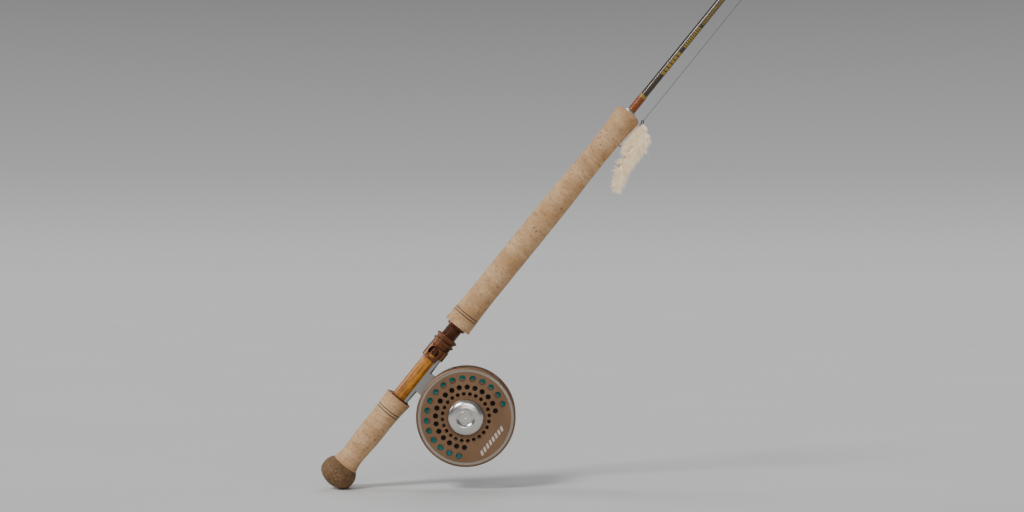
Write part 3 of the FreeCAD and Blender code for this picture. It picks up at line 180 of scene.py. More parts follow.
class Finish:
    """A procedural material, with short calls for the nodes that it is made of."""

    def __init__(self, name, place=ROD, **shader):
        self.material = bpy.data.materials.new(name)
        self.material.use_nodes = True
        self.tree = self.material.node_tree
        self.shader = next(n for n in self.tree.nodes if n.type == "BSDF_PRINCIPLED")
        for socket, value in shader.items():
            self.shader.inputs[socket.replace("_", " ")].default_value = value
        coordinate = self.tree.nodes.new("ShaderNodeTexCoord")
        mapping = self.tree.nodes.new("ShaderNodeMapping")
        mapping.vector_type = "TEXTURE"
        mapping.inputs["Location"].default_value = place.translation
        mapping.inputs["Rotation"].default_value = place.to_euler()
        self.tree.links.new(coordinate.outputs["Object"], mapping.inputs["Vector"])
        self.place = mapping.outputs["Vector"]

    def feed(self, value, socket):
        """Link another node's output to a socket, or set the socket to a plain value."""
        if hasattr(value, "is_linked"):
            self.tree.links.new(value, socket)
        else:
            socket.default_value = value

    def stretched(self, scale):
        """The place in the finish's frame, scaled along X, Y and Z."""
        mapping = self.tree.nodes.new("ShaderNodeMapping")
        mapping.inputs["Scale"].default_value = scale
        self.tree.links.new(self.place, mapping.inputs["Vector"])
        return mapping.outputs["Vector"]

    def noise(self, scale, detail=3.0, roughness=0.55, distortion=0.0):
        """Cloudy noise; scale is features per metre along the frame's X, Y and Z."""
        node = self.tree.nodes.new("ShaderNodeTexNoise")
        self.tree.links.new(self.stretched(scale), node.inputs["Vector"])
        node.inputs["Scale"].default_value = 1.0
        node.inputs["Detail"].default_value = detail
        node.inputs["Roughness"].default_value = roughness
        node.inputs["Distortion"].default_value = distortion
        return node.outputs["Fac"]

    def part(self, axis):
        """One coordinate in the finish's frame, in metres."""
        node = self.tree.nodes.new("ShaderNodeSeparateXYZ")
        self.tree.links.new(self.place, node.inputs["Vector"])
        return node.outputs[axis]

    def radius(self):
        """Distance from the frame's Z axis."""
        x, y = self.part("X"), self.part("Y")
        squares = self.sum("ADD", self.sum("MULTIPLY", x, x), self.sum("MULTIPLY", y, y))
        return self.sum("SQRT", squares)

    def sum(self, operation, first, second=0.0):
        """A Math node's result, for any of its operations."""
        node = self.tree.nodes.new("ShaderNodeMath")
        node.operation = operation
        for socket, value in zip(node.inputs, (first, second)):
            self.feed(value, socket)
        return node.outputs["Value"]

    def ramp(self, value, *stops):
        """Colours or greys by value, from (position, colour) stops."""
        node = self.tree.nodes.new("ShaderNodeValToRGB")
        self.tree.links.new(value, node.inputs["Fac"])
        elements = node.color_ramp.elements
        while len(elements) < len(stops):
            elements.new(0.5)
        for element, (position, colour) in zip(elements, stops):
            element.position = position
            grey = isinstance(colour, (int, float))
            element.color = (colour, colour, colour, 1) if grey else (*colour, 1)
        return node.outputs["Color"]

    def mix(self, amount, first, second):
        """The first colour where amount is 0, the second where it is 1."""
        node = self.tree.nodes.new("ShaderNodeMix")
        node.data_type = "RGBA"
        self.feed(amount, node.inputs["Factor"])
        for value, socket in ((first, node.inputs["A"]), (second, node.inputs["B"])):
            self.feed((*value, 1) if isinstance(value, tuple) else value, socket)
        return node.outputs["Result"]

    def colour(self, value):
        """Feed the shader's base colour."""
        self.tree.links.new(value, self.shader.inputs["Base Color"])

    def rough(self, value, low, high):
        """Roughness between low and high by a grey value."""
        node = self.tree.nodes.new("ShaderNodeMapRange")
        self.tree.links.new(value, node.inputs["Value"])
        node.inputs["To Min"].default_value = low
        node.inputs["To Max"].default_value = high
        self.tree.links.new(node.outputs["Result"], self.shader.inputs["Roughness"])

    def bump(self, height, distance, strength):
        """Relief of a height of 0 to 1, distance metres deep; calls stack up."""
        node = self.tree.nodes.new("ShaderNodeBump")
        self.tree.links.new(height, node.inputs["Height"])
        node.inputs["Distance"].default_value = distance
        node.inputs["Strength"].default_value = strength
        before = self.shader.inputs["Normal"].links
        if before:
            self.tree.links.new(before[0].from_socket, node.inputs["Normal"])
        self.tree.links.new(node.outputs["Normal"], self.shader.inputs["Normal"])


def dress(material, *names):
    """Give CAD nodes a material in every slot."""
    for name in names:
        slots = NODES[name].data.materials
        if not slots:
            slots.append(material)
        for index in range(len(slots)):
            slots[index] = material


# ---------------------------------------------------------------- materials


def cork_finish(name, pale, mid, dark):
    """Sanded cork: cloudy tone, blotches and small dark pits, with joints between its rings."""
    half_ring, first_joint = 0.00635, 0.003
    made = Finish(name, Roughness=0.75)
    made.shader.inputs["Specular IOR Level"].default_value = 0.3
    colour = made.ramp(made.noise((28, 28, 60), 4.0), (0.36, mid), (0.62, pale))
    streaks = made.noise((70, 70, 420), 4.0, 0.6)
    colour = made.mix(made.ramp(streaks, (0.36, 0.75), (0.52, 0.0)), colour, mid)
    blotches = made.noise((150, 150, 260), 4.0, 0.65)
    shade = tuple(0.62 * value for value in mid)
    colour = made.mix(made.ramp(blotches, (0.33, 0.6), (0.47, 0.0)), colour, shade)
    grain = made.noise((700, 700, 1500), 3.0, 0.65)
    colour = made.mix(made.ramp(grain, (0.36, 0.6), (0.52, 0.0)), colour, shade)
    pits = made.ramp(made.noise((330, 330, 620), 2.0, 0.6), (0.31, 1.0), (0.37, 0.0))
    clusters = made.ramp(made.noise((55, 55, 90), 2.0), (0.46, 0.15), (0.58, 1.0))
    pit_mask = made.sum("MULTIPLY", pits, clusters)
    colour = made.mix(pit_mask, colour, dark)
    joint = made.sum("PINGPONG", made.sum("ADD", made.part("Z"), first_joint), half_ring)
    joint_mask = made.ramp(made.sum("MULTIPLY", joint, 1000.0), (0.0, 0.22), (0.25, 0.0))
    colour = made.mix(joint_mask, colour, dark)
    made.colour(colour)
    made.rough(grain, 0.65, 0.85)
    made.bump(grain, 0.00008, 0.5)
    made.bump(made.sum("SUBTRACT", 1.0, pit_mask), 0.0003, 0.8)
    return made.material


def rubber_cork_finish():
    """Rubberised cork: brown crumbs in a darker binder."""
    made = Finish("rubber_cork", Roughness=0.8)
    crumbs = made.noise((750, 750, 750), 2.0, 0.6)
    patch = made.noise((110, 110, 110), 3.0)
    low, middle, high = (0.085, 0.040, 0.014), (0.16, 0.083, 0.031), (0.25, 0.145, 0.060)
    colour = made.ramp(crumbs, (0.34, low), (0.5, middle), (0.68, high))
    colour = made.mix(made.ramp(patch, (0.36, 0.45), (0.6, 0.0)), colour, low)
    specks = made.noise((1300, 1300, 1300), 1.0)
    colour = made.mix(made.ramp(specks, (0.28, 0.7), (0.36, 0.0)), colour, (0.012, 0.009, 0.006))
    made.colour(colour)
    made.rough(crumbs, 0.68, 0.88)
    made.bump(crumbs, 0.0001, 0.6)
    return made.material


def accent_finish():
    """The dark rings let into the grips."""
    made = Finish("accent", Roughness=0.5)
    grain = made.noise((900, 900, 400), 2.0)
    made.colour(made.ramp(grain, (0.3, (0.016, 0.010, 0.006)), (0.7, (0.05, 0.028, 0.014))))
    made.bump(grain, 0.00005, 0.5)
    return made.material


def wood_finish():
    """Varnished figured hardwood: long grain, cross figure and small dark pores."""
    made = Finish("figured_wood", Roughness=0.45, Coat_Weight=0.25, Coat_Roughness=0.3)
    made.shader.inputs["Specular IOR Level"].default_value = 0.3
    grain = made.noise((420, 420, 22), 4.0, 0.6, 0.6)
    figure = made.noise((70, 70, 190), 3.0, 0.5, 1.2)
    pores = made.noise((1100, 1100, 90), 2.0, 0.6)
    low, middle, high = (0.10, 0.022, 0.0), (0.30, 0.092, 0.002), (0.52, 0.20, 0.006)
    colour = made.ramp(grain, (0.36, low), (0.5, middle), (0.66, high))
    colour = made.mix(made.ramp(figure, (0.42, 0.0), (0.64, 0.5)), colour, (0.55, 0.23, 0.01))
    colour = made.mix(made.ramp(pores, (0.28, 0.8), (0.38, 0.0)), colour, (0.07, 0.02, 0.004))
    made.colour(colour)
    made.rough(grain, 0.38, 0.52)
    made.bump(pores, 0.00003, 0.4)
    return made.material


def anodised_finish(name, dark, light, rough, place=ROD):
    """Satin anodised aluminium with a bead-blasted skin."""
    made = Finish(name, place, Metallic=0.85)
    cloud = made.noise((45, 45, 45), 3.0)
    skin = made.noise((2600, 2600, 2600), 2.0, 0.6)
    specks = made.ramp(skin, (0.3, 0.0), (0.7, 0.4))
    tone = made.ramp(cloud, (0.3, dark), (0.7, light))
    made.colour(made.mix(specks, tone, light))
    made.rough(cloud, rough - 0.05, rough + 0.07)
    made.bump(skin, 0.00003, 0.6)
    return made.material


def reel_bronze_finish():
    """The frame's bronze skin, with a turned bare-metal ring let into its face."""
    made = Finish("reel_bronze", REEL, Metallic=0.8)
    ring_inner, ring_outer, ring_level, lines_per_metre = 0.04502, 0.04738, 0.0165, 42000.0
    cloud = made.noise((40, 40, 40), 3.0)
    skin = made.noise((2300, 2300, 2300), 2.0, 0.65)
    bronze = made.ramp(cloud, (0.3, (0.195, 0.110, 0.060)), (0.7, (0.245, 0.145, 0.084)))
    bronze = made.mix(made.ramp(skin, (0.32, 0.45), (0.6, 0.0)), bronze, (0.12, 0.064, 0.034))
    radius = made.radius()
    past_inner = made.sum("GREATER_THAN", radius, ring_inner)
    within_outer = made.sum("LESS_THAN", radius, ring_outer)
    facing = made.sum("GREATER_THAN", made.part("Z"), ring_level)
    ring = made.sum("MULTIPLY", made.sum("MULTIPLY", past_inner, within_outer), facing)
    lines = made.sum("SINE", made.sum("MULTIPLY", radius, lines_per_metre))
    bright = made.ramp(lines, (0.0, 0.0), (1.0, 1.0))
    bare = made.mix(bright, (0.30, 0.265, 0.22), (0.46, 0.42, 0.36))
    made.colour(made.mix(ring, bronze, bare))
    skin_grey = made.ramp(cloud, (0.3, 0.45), (0.7, 0.7))
    made.rough(made.mix(ring, skin_grey, (0.25, 0.25, 0.25)), 0.1, 0.72)
    made.bump(skin, 0.00005, 0.55)
    made.bump(made.sum("MULTIPLY", lines, ring), 0.00002, 0.4)
    return made.material


def turned_metal_finish(name, place, tone, rough):
    """Bright turned aluminium with fine rings about the frame's axis."""
    pitch = 0.00022
    made = Finish(name, place, Metallic=1.0)
    cloud = made.noise((60, 60, 60), 3.0)
    rings = made.sum("SINE", made.sum("MULTIPLY", made.radius(), 2 * math.pi / pitch))
    bright = tuple(min(1.0, c * 1.12) for c in tone)
    made.colour(made.ramp(cloud, (0.3, tone), (0.7, bright)))
    scratches = made.noise((900, 900, 900), 2.0)
    made.rough(scratches, rough - 0.06, rough + 0.08)
    made.bump(rings, 0.000006, 0.5)
    return made.material


def satin_metal_finish(name, tone, rough):
    """Bead-blasted bare metal."""
    made = Finish(name, Metallic=0.9)
    skin = made.noise((2400, 2400, 2400), 2.0, 0.6)
    dull = tuple(c * 0.82 for c in tone)
    made.colour(made.ramp(skin, (0.3, dull), (0.65, tone)))
    made.rough(made.noise((90, 90, 90), 2.0), rough - 0.05, rough + 0.08)
    made.bump(skin, 0.00003, 0.5)
    return made.material


def blank_finish():
    """Olive-brown graphite under a clear gloss coat, with the faint crossings of its wrap."""
    crossing = 0.0016
    made = Finish("blank", Roughness=0.5, Coat_Weight=0.7, Coat_Roughness=0.13)
    made.shader.inputs["Specular IOR Level"].default_value = 0.2
    cloud = made.noise((300, 300, 40), 3.0)
    colour = made.ramp(cloud, (0.3, (0.022, 0.013, 0.003)), (0.7, (0.046, 0.029, 0.007)))
    band = made.sum("SINE", made.sum("MULTIPLY", made.part("Z"), 2 * math.pi / crossing))
    made.colour(made.mix(made.ramp(band, (0.2, 0.0), (1.0, 0.25)), colour, (0.02, 0.013, 0.005)))
    made.rough(cloud, 0.22, 0.34)
    return made.material


def thread_finish(name, deep, bright):
    """Rod-winding thread under epoxy: fine turns with a glossy coat over them."""
    thread_width = 0.00024
    made = Finish(name, Roughness=0.4, Coat_Weight=0.4, Coat_Roughness=0.16)
    made.shader.inputs["Specular IOR Level"].default_value = 0.25
    turns = made.sum("SINE", made.sum("MULTIPLY", made.part("Z"), 2 * math.pi / thread_width))
    sheen = made.noise((350, 350, 1200), 3.0)
    colour = made.mix(made.ramp(turns, (0.1, 1.0), (0.9, 0.0)), bright, deep)
    made.colour(made.mix(made.ramp(sheen, (0.35, 0.0), (0.7, 0.5)), colour, deep))
    made.bump(turns, 0.00004, 0.5)
    return made.material


def line_finish(name, dark, light):
    """Wound line or backing."""
    made = Finish(name, REEL, Roughness=0.35)
    shade = made.noise((220, 220, 900), 3.0)
    made.colour(made.ramp(shade, (0.3, dark), (0.7, light)))
    made.rough(shade, 0.28, 0.45)
    return made.material


def simple_finish(name, dark, light, rough, scale=400, **shader):
    """A plain finish with a little tone and relief at one scale."""
    made = Finish(name, **shader)
    shade = made.noise((scale, scale, scale), 3.0)
    made.colour(made.ramp(shade, (0.3, dark), (0.7, light)))
    made.rough(shade, rough - 0.05, rough + 0.08)
    made.bump(shade, 0.00002, 0.4)
    return made.material


CORK = cork_finish("cork", (0.64, 0.41, 0.225), (0.47, 0.265, 0.12), (0.12, 0.045, 0.014))
RUBBER_CORK = rubber_cork_finish()
ACCENT = accent_finish()
WOOD = wood_finish()
BRONZE = anodised_finish("seat_bronze", (0.125, 0.047, 0.021), (0.19, 0.078, 0.038), 0.34)
DARK_BRONZE = anodised_finish("barrel_bronze", (0.075, 0.026, 0.014), (0.12, 0.045, 0.025), 0.26)
REEL_BRONZE = reel_bronze_finish()
SPOOL_BRONZE = anodised_finish("spool_bronze", (0.2, 0.095, 0.05), (0.28, 0.145, 0.08), 0.36, REEL)
KNOB_METAL = turned_metal_finish("knob_metal", REEL, (0.60, 0.58, 0.545), 0.2)
FOOT_METAL = satin_metal_finish("foot_metal", (0.31, 0.30, 0.285), 0.36)
CHECK_METAL = turned_metal_finish("check_metal", ROD, (0.74, 0.70, 0.62), 0.22)
STEEL = satin_metal_finish("steel", (0.56, 0.55, 0.54), 0.25)
BLANK = blank_finish()
THREAD = thread_finish("thread", (0.14, 0.028, 0.0), (0.40, 0.115, 0.0))
TRIM_THREAD = thread_finish("trim_thread", (0.16, 0.10, 0.012), (0.46, 0.33, 0.05))
CERAMIC = simple_finish("ceramic", (0.012, 0.012, 0.013), (0.03, 0.03, 0.032), 0.12)
CARBON = simple_finish("carbon", (0.012, 0.012, 0.012), (0.03, 0.03, 0.03), 0.6)
FLY_LINE = line_finish("fly_line", (0.0, 0.30, 0.30), (0.0, 0.55, 0.53))
BACKING = line_finish("backing", (0.012, 0.012, 0.014), (0.035, 0.033, 0.032))
MONO = simple_finish("mono", (0.03, 0.03, 0.026), (0.05, 0.05, 0.043), 0.5)
HOOK_STEEL = simple_finish("hook_steel", (0.03, 0.022, 0.015), (0.08, 0.06, 0.04), 0.25, Metallic=1.0)
HANDLE_RESIN = simple_finish("handle_resin", (0.022, 0.012, 0.007), (0.06, 0.032, 0.018), 0.34, 160)
FUR = simple_finish("fur", (0.90, 0.75, 0.52), (0.99, 0.92, 0.76), 0.6, scale=260)
GLOWING_FUR_SHADER = FUR.node_tree.nodes["Principled BSDF"]
GLOWING_FUR_SHADER.inputs["Sheen Weight"].default_value = 0.4
# The fur glows faintly in cream: painted light standing in for the light that scatters through its hairs.
GLOWING_FUR_SHADER.inputs["Emission Color"].default_value = (1.0, 0.88, 0.68, 1)
GLOWING_FUR_SHADER.inputs["Emission Strength"].default_value = 0.13
HIDE = simple_finish("hide", (0.42, 0.25, 0.11), (0.60, 0.40, 0.21), 0.7, scale=500)
GOLD_INK = simple_finish("gold_ink", (0.26, 0.16, 0.012), (0.42, 0.28, 0.03), 0.45, Metallic=0.3)
PALE_MARK = simple_finish("pale_mark", (0.50, 0.45, 0.38), (0.64, 0.59, 0.51), 0.4, Metallic=0.6)


def dress_nodes():
    """Materials of the CAD nodes that keep their own shape."""
    dress(RUBBER_CORK, "butt_knob")
    dress(CORK, "rear_grip", "rear_cork_spacer", "rear_grip_end")
    dress(CORK, "fore_grip_base", "fore_cork_spacer", "fore_grip")
    dress(ACCENT, "rear_accent_rings", "fore_accent_rings")
    dress(BRONZE, "rear_hood", "sliding_hood", "lock_ring_lower", "lock_ring_upper")
    dress(DARK_BRONZE, "seat_barrel", "seat_collar")
    dress(WOOD, "seat_insert")
    dress(REEL_BRONZE, "reel_frame")
    dress(SPOOL_BRONZE, "spool", "drag_housing")
    dress(KNOB_METAL, "drag_knob", "spool_cap", "release_button", "counterweight")
    dress(FOOT_METAL, "reel_foot")
    dress(CHECK_METAL, "winding_check")
    dress(STEEL, "stripping_guide", "tip_top", "foot_screws", "spindle", "brake_discs")
    dress(STEEL, "pressure_plate", "drag_spring", "drag_pins", "spool_bearings", "roller_clutch")
    dress(STEEL, "latch_clip", "crank_pin", "drag_hub")
    dress(CERAMIC, "stripping_guide_liner")
    dress(CARBON, "friction_discs")
    dress(THREAD, "butt_wrap")
    dress(TRIM_THREAD, "butt_wrap_trim")
    dress(HOOK_STEEL, "fly_hook")
    dress(HANDLE_RESIN, "handle_knob")


# ---------------------------------------------------------------- rod

# The blank in its own frame, millimetres: radii at the butt and the tip, its wall, the play in a
# socket, and how far one piece laps over the next.
ROD_LENGTH = 3200
BLANK_START = 8
PIECES = 4
LAP = 55
BLANK_BUTT, BLANK_TIP, BLANK_WALL, PLAY = 4.35, 0.75, 0.85, 0.08
PIECE_LENGTH = (ROD_LENGTH - BLANK_START + (PIECES - 1) * LAP) / PIECES
GLUE_LINE = 0.05
# A thread wrap's thickness, the snake guides' wire radius and foot length, and the stripping
# guide's place with the distance from it to each of its wraps.
WRAP = 0.42
GUIDE_WIRE, GUIDE_FOOT = 0.5, 12
STRIPPING_GUIDE_AT, STRIPPING_FEET = 750, 9
# Each piece's snake guides: place along the rod and radius of the loop.
SNAKE_GUIDES = {
    1: [(965, 4.0), (1150, 3.8), (1330, 3.6), (1500, 3.4)],
    2: [(1700, 3.2), (1880, 3.1), (2050, 3.0), (2220, 2.9)],
    3: [(2455, 2.8), (2600, 2.7), (2735, 2.6), (2860, 2.6), (2975, 2.5), (3090, 2.5)],
}
PIECE_BODIES = ["root", "rod_piece_2", "rod_piece_3", "rod_piece_4"]


def piece_start(number):
    """Where a piece of the blank starts, along the rod."""
    return BLANK_START + number * (PIECE_LENGTH - LAP)


def taper(along):
    """The blank's plain outside radius, without the sleeves of its joints."""
    return BLANK_BUTT - (BLANK_BUTT - BLANK_TIP) * along / ROD_LENGTH


def outside(number, along):
    """Outside radius of one piece of the blank."""
    if number == 0:
        return taper(along)
    start = piece_start(number)
    end = start + PIECE_LENGTH
    sleeve = taper(start) + PLAY + BLANK_WALL
    return sleeve - (sleeve - taper(end)) * (along - start) / PIECE_LENGTH


def make_blank(number):
    """One piece of the blank, round and smooth, with its socket."""
    start = piece_start(number)
    end = start + PIECE_LENGTH
    socket_end = start + LAP + 2
    profile = [(outside(number, stop), stop) for stop in np.linspace(start, end, 13)]
    if number + 1 == PIECES:
        profile.append((0.05, end))
        inner = [(0.05, end - 1), (0.3, socket_end)]
    else:
        narrow = outside(number, start + LAP) - BLANK_WALL
        inner = [(outside(number, end) - BLANK_WALL, end), (narrow, socket_end)]
    if number:
        inner.append((taper(start + LAP) + PLAY, socket_end))
        inner.append((taper(start) + PLAY, start))
    else:
        inner.append((BLANK_BUTT - BLANK_WALL, start))
    label, body = f"blank_tube_{number + 1}", PIECE_BODIES[number]
    piece = lathe(label, profile + inner, ROD, BLANK, body, sides=48)
    stand_for(f"blank_{number + 1}")


def wrap_part(number, low, high, foot_way=0):
    """One thread wrap. A guide's foot runs in under its low end where foot_way is 1, under its
    high end where it is -1, and there is none where it is 0."""
    steps, sides, rounded, sunk = 14, 40, 0.9, 0.02
    foot_half_width, foot_lift = 1.68, 2 * GUIDE_WIRE + 0.1
    profile = []
    for i in range(steps + 1):
        along = low + (high - low) * i / steps
        edge = min(along - low, high - along)
        swell = WRAP * min(1.0, 0.12 + (edge / rounded) ** 0.6) if edge < rounded else WRAP
        profile.append((outside(number, along) + swell - sunk, along))

    def lift(angle, radius, height):
        """The hump over the foot, which fades as the foot thins."""
        if not foot_way:
            return 0.0
        run = (height - low) / (high - low)
        run = run if foot_way > 0 else 1 - run
        spread = foot_half_width / max(radius, 1.0)
        turn = min(angle, 2 * math.pi - angle)
        fade = max(0.0, 1 - run * 1.02) ** 0.35
        return foot_lift * fade * math.exp(-((turn / spread) ** 2))

    points = [ROD @ p for p in lathe_points(profile, sides, lift)]
    return points, ring_faces(len(profile), sides)


def make_wraps(number):
    """All the thread wraps of one piece of the rod, as one piece."""
    parts = []
    if number == 0:
        after, before = STRIPPING_GUIDE_AT + STRIPPING_FEET, STRIPPING_GUIDE_AT - STRIPPING_FEET
        parts.append(wrap_part(0, after, after + GUIDE_FOOT, 1))
        parts.append(wrap_part(0, before - GUIDE_FOOT, before, -1))
    else:
        start = piece_start(number)
        parts.append(wrap_part(number, start + 1, start + 1 + LAP / 2))
        for along, loop in SNAKE_GUIDES[number]:
            gap = 1.2 * loop + 1.5
            length = GUIDE_FOOT - 0.5
            parts.append(wrap_part(number, along + gap, along + gap + length, 1))
            parts.append(wrap_part(number, along - gap - length, along - gap, -1))
    points, faces = joined(parts)
    piece = new_mesh(f"wraps_{number + 1}", points, faces, THREAD, PIECE_BODIES[number], 60)
    stand_for(f"thread_wraps_{number + 1}")


def guide_part(number, along, loop):
    """A snake guide: a single turn of wire with its feet along the blank."""
    turn = loop + GUIDE_WIRE
    length = 2.4 * loop
    foot_low = along - length / 2 - GUIDE_FOOT
    foot_points, loop_points, gap = 8, 36, 1.2
    foot_step = (GUIDE_FOOT - gap) / (foot_points - 1)
    touch = outside(number, foot_low) + 1.05 * GUIDE_WIRE + 0.02
    path, radii = [], []
    for i in range(foot_points):
        path.append(Vector((touch, 0, foot_low + i * foot_step)))
        radii.append(GUIDE_WIRE * (0.5 + 0.5 * min(1, i / 4)))
    for i in range(1, loop_points):
        angle = 2 * math.pi * i / loop_points
        height = along + length * (i / loop_points - 0.5)
        out, aside = turn * (1 - math.cos(angle)), turn * math.sin(angle)
        path.append(Vector((touch + out, aside, height)))
        radii.append(GUIDE_WIRE)
    for i in range(foot_points):
        path.append(Vector((touch, 0, along + length / 2 + gap + i * foot_step)))
        radii.append(GUIDE_WIRE * (0.5 + 0.5 * min(1, (foot_points - 1 - i) / 4)))
    world = [ROD @ (p * MM) for p in path]
    return tube_along(world, [r * MM for r in radii], sides=12)


def make_guides(number):
    """All the snake guides of one piece of the rod, as one piece."""
    parts = [guide_part(number, along, loop) for along, loop in SNAKE_GUIDES[number]]
    points, faces = joined(parts)
    piece = new_mesh(f"snake_wire_{number + 1}", points, faces, STEEL, PIECE_BODIES[number], 50)
    stand_for(f"snake_guides_{number + 1}")


# Cork nearer the rod's axis than this is a grip's bore or the middle of its end, and stays plain.
CORK_INSIDE = 9


def cork_relief(angle, radius, height):
    """Small pits and the slight waviness that sanding leaves, in millimetres."""
    if radius <= CORK_INSIDE:
        return 0.0
    wave_height, pit_depth, pit_edge = 0.03, 0.14, 0.42
    place = Vector((radius * math.cos(angle), radius * math.sin(angle), height))
    wave = wave_height * noise.noise(Vector((place.x, place.y, place.z * 2)) * 0.12)
    grain = noise.noise(Vector((place.x * 0.75, place.y * 0.75, place.z * 1.9)))
    return wave - pit_depth * max(0.0, grain - pit_edge) / (1 - pit_edge)


def bore_of(low, high):
    """The inside of a turned piece glued over the blank, from its high end to its low one."""
    return [(taper(high) + GLUE_LINE, high), (taper(low) + GLUE_LINE, low)]


def make_cork(name, node, stations):
    """A cork piece, turned, with fine relief, standing for its CAD node."""
    outer = smooth_curve(stations, 0.8)
    profile = outer + bore_of(outer[0][1], outer[-1][1])
    piece = lathe(name, profile, ROD, CORK, "root", 132, cork_relief, smooth_angle=50)
    stand_for(node)


# Each grip's outline: height along the rod and radius.
REAR_GRIP = [
    *[(25, 13.6), (27.5, 12.75), (30, 12.15), (33.5, 11.65), (37, 11.5), (43, 11.68)],
    *[(50.5, 12.05), (57, 12.42), (64, 12.6), (72, 12.56), (80, 12.45), (86, 12.515), (91.9, 12.71)],
]
FORE_GRIP_BASE = [(218.8, 13.55), (226, 13.34), (235, 13.08), (244, 12.94), (252, 12.9)]
FORE_GRIP_WAIST = [(340, 12.9), (362, 12.76), (384, 12.25), (406, 11.74), (428, 11.6)]
FORE_GRIP_FLARE = [(440, 11.75), (452, 12.14), (463, 12.82), (471, 13.5), (472.8, 13.58)]
FORE_GRIP_END = [(474.2, 13.2), (475.4, 12.2), (476.3, 10.4), (476.8, 8.4), (477, 6.9)]
FORE_GRIP = FORE_GRIP_BASE + FORE_GRIP_WAIST + FORE_GRIP_FLARE + FORE_GRIP_END


def make_grips():
    """The two long cork grips."""
    make_cork("rear_cork", "rear_grip", REAR_GRIP)
    make_cork("fore_cork", "fore_grip", FORE_GRIP)


# The seat's barrel, and the pitch and depth of its thread.
BARREL_LOW, BARREL_HIGH, BARREL_RADIUS, PITCH, THREAD_DEPTH = 165, 214, 8.0, 1.5, 0.42


def make_barrel():
    """The seat's barrel with its thread cut as a real helix."""
    steps_per_turn = 10
    length = BARREL_HIGH - BARREL_LOW
    count = int(length / PITCH * steps_per_turn)
    outer = [(BARREL_RADIUS, BARREL_LOW + length * i / count) for i in range(count + 1)]
    profile = outer + bore_of(BARREL_LOW, BARREL_HIGH)

    def thread(angle, radius, height):
        """The groove's depth at a place on the outside; the bore has none."""
        if radius < BARREL_RADIUS - 1:
            return 0.0
        phase = (height / PITCH - angle / (2 * math.pi)) % 1.0
        return -THREAD_DEPTH * abs(2 * phase - 1) ** 1.3

    piece = lathe("threaded_barrel", profile, ROD, DARK_BRONZE, "root", 96, thread, smooth_angle=60)
    stand_for("seat_barrel")


# ---------------------------------------------------------------- reel

# The wound layers, from the arbor outward, between the spool's flanges, and their lines' widths.
ARBOR, BACKING_OUTSIDE, LINE_OUTSIDE = 26.05, 33.5, 42.0
WOUND_LOW, WOUND_HIGH = -17.3, 10.85
BACKING_WIDTH, LINE_WIDTH = 0.62, 1.15


def winding(name, node, material, inner, outer, line):
    """A wound layer whose faces show the turns of a line of the given width."""
    per_turn, face_dip, rim_dip = 6, 0.28 * line, 0.32 * line
    across = max(1, round((outer - inner) / line)) * per_turn
    deep = max(1, round((WOUND_HIGH - WOUND_LOW) / line)) * per_turn

    def between(step):
        """0 on the crown of a turn and 1 between two of them."""
        return 1 - abs(math.sin(math.pi * step / per_turn))

    profile = []
    for i in range(across):
        radius = inner + (outer - inner) * i / across
        profile.append((radius, WOUND_HIGH - face_dip * between(i)))
    for i in range(deep):
        height = WOUND_HIGH - (WOUND_HIGH - WOUND_LOW) * i / deep
        profile.append((outer - rim_dip * between(i), height))
    for i in range(across):
        radius = outer - (outer - inner) * i / across
        profile.append((radius, WOUND_LOW + face_dip * between(i)))
    profile.append((inner, WOUND_LOW))
    piece = lathe(name, profile, REEL, material, "spool", sides=120, smooth_angle=80)
    stand_for(node)


def make_windings():
    """The backing on the spool's arbor and the fly line over it."""
    winding("wound_backing", "backing", BACKING, ARBOR, BACKING_OUTSIDE, BACKING_WIDTH)
    winding("wound_fly_line", "fly_line", FLY_LINE, BACKING_OUTSIDE, LINE_OUTSIDE, LINE_WIDTH)


def slab(corners, low, high):
    """A thin plate between two heights, from its corners in a plane."""
    count = len(corners)
    points = [Vector((x, y, z)) for z in (low, high) for x, y in corners]
    faces = [tuple(reversed(range(count))), tuple(range(count, 2 * count))]
    faces += [(i, (i + 1) % count, count + (i + 1) % count, count + i) for i in range(count)]
    return points, faces


# The marks, in millimetres: the drag plate's face with its bars, and the drag knob's middle.
PLATE_FACE, PLATE_BARS, BARS_MIDDLE = 17.0, 8, Vector((26.4, -22.6, 0))
BAR_WIDTH, BAR_STEP, BAR_REACH, BAR_SLANT = 2.6, 4.4, 2.1, 1.1
KNOB_FACE, STAR_POINTS, STAR_OUTER, STAR_INNER = 23.33, 6, 3.6, 1.5
# Rows of gold dashes on the blank: start, end, a dash's length, the gap after it, and half the
# angle that it spans.
DASH_ROWS = [(527, 559, 3.6, 1.3, 0.55), (562, 587, 1.5, 1.1, 0.5), (591, 625, 0.9, 0.9, 0.36)]
DASH_FACING, DASH_SLANT = math.radians(-66), 0.8


def make_plate_mark():
    """A plain row of slanted bars where the maker's lettering would be."""
    way = math.radians(51)
    along = Vector((math.cos(way), math.sin(way), 0))
    across = Vector((-along.y, along.x, 0))
    parts = []
    for i in range(PLATE_BARS):
        start = BARS_MIDDLE + along * ((i - PLATE_BARS / 2) * BAR_STEP)
        foot = start - across * BAR_REACH - along * BAR_SLANT
        head = start + across * BAR_REACH + along * BAR_SLANT
        corners = [foot, foot + along * BAR_WIDTH, head + along * BAR_WIDTH, head]
        parts.append(slab([(c.x, c.y) for c in corners], PLATE_FACE - 0.02, PLATE_FACE + 0.035))
    points, faces = joined(parts)
    world = [REEL @ (p * MM) for p in points]
    piece = new_mesh("plate_mark", world, faces, PALE_MARK, "root", 30)


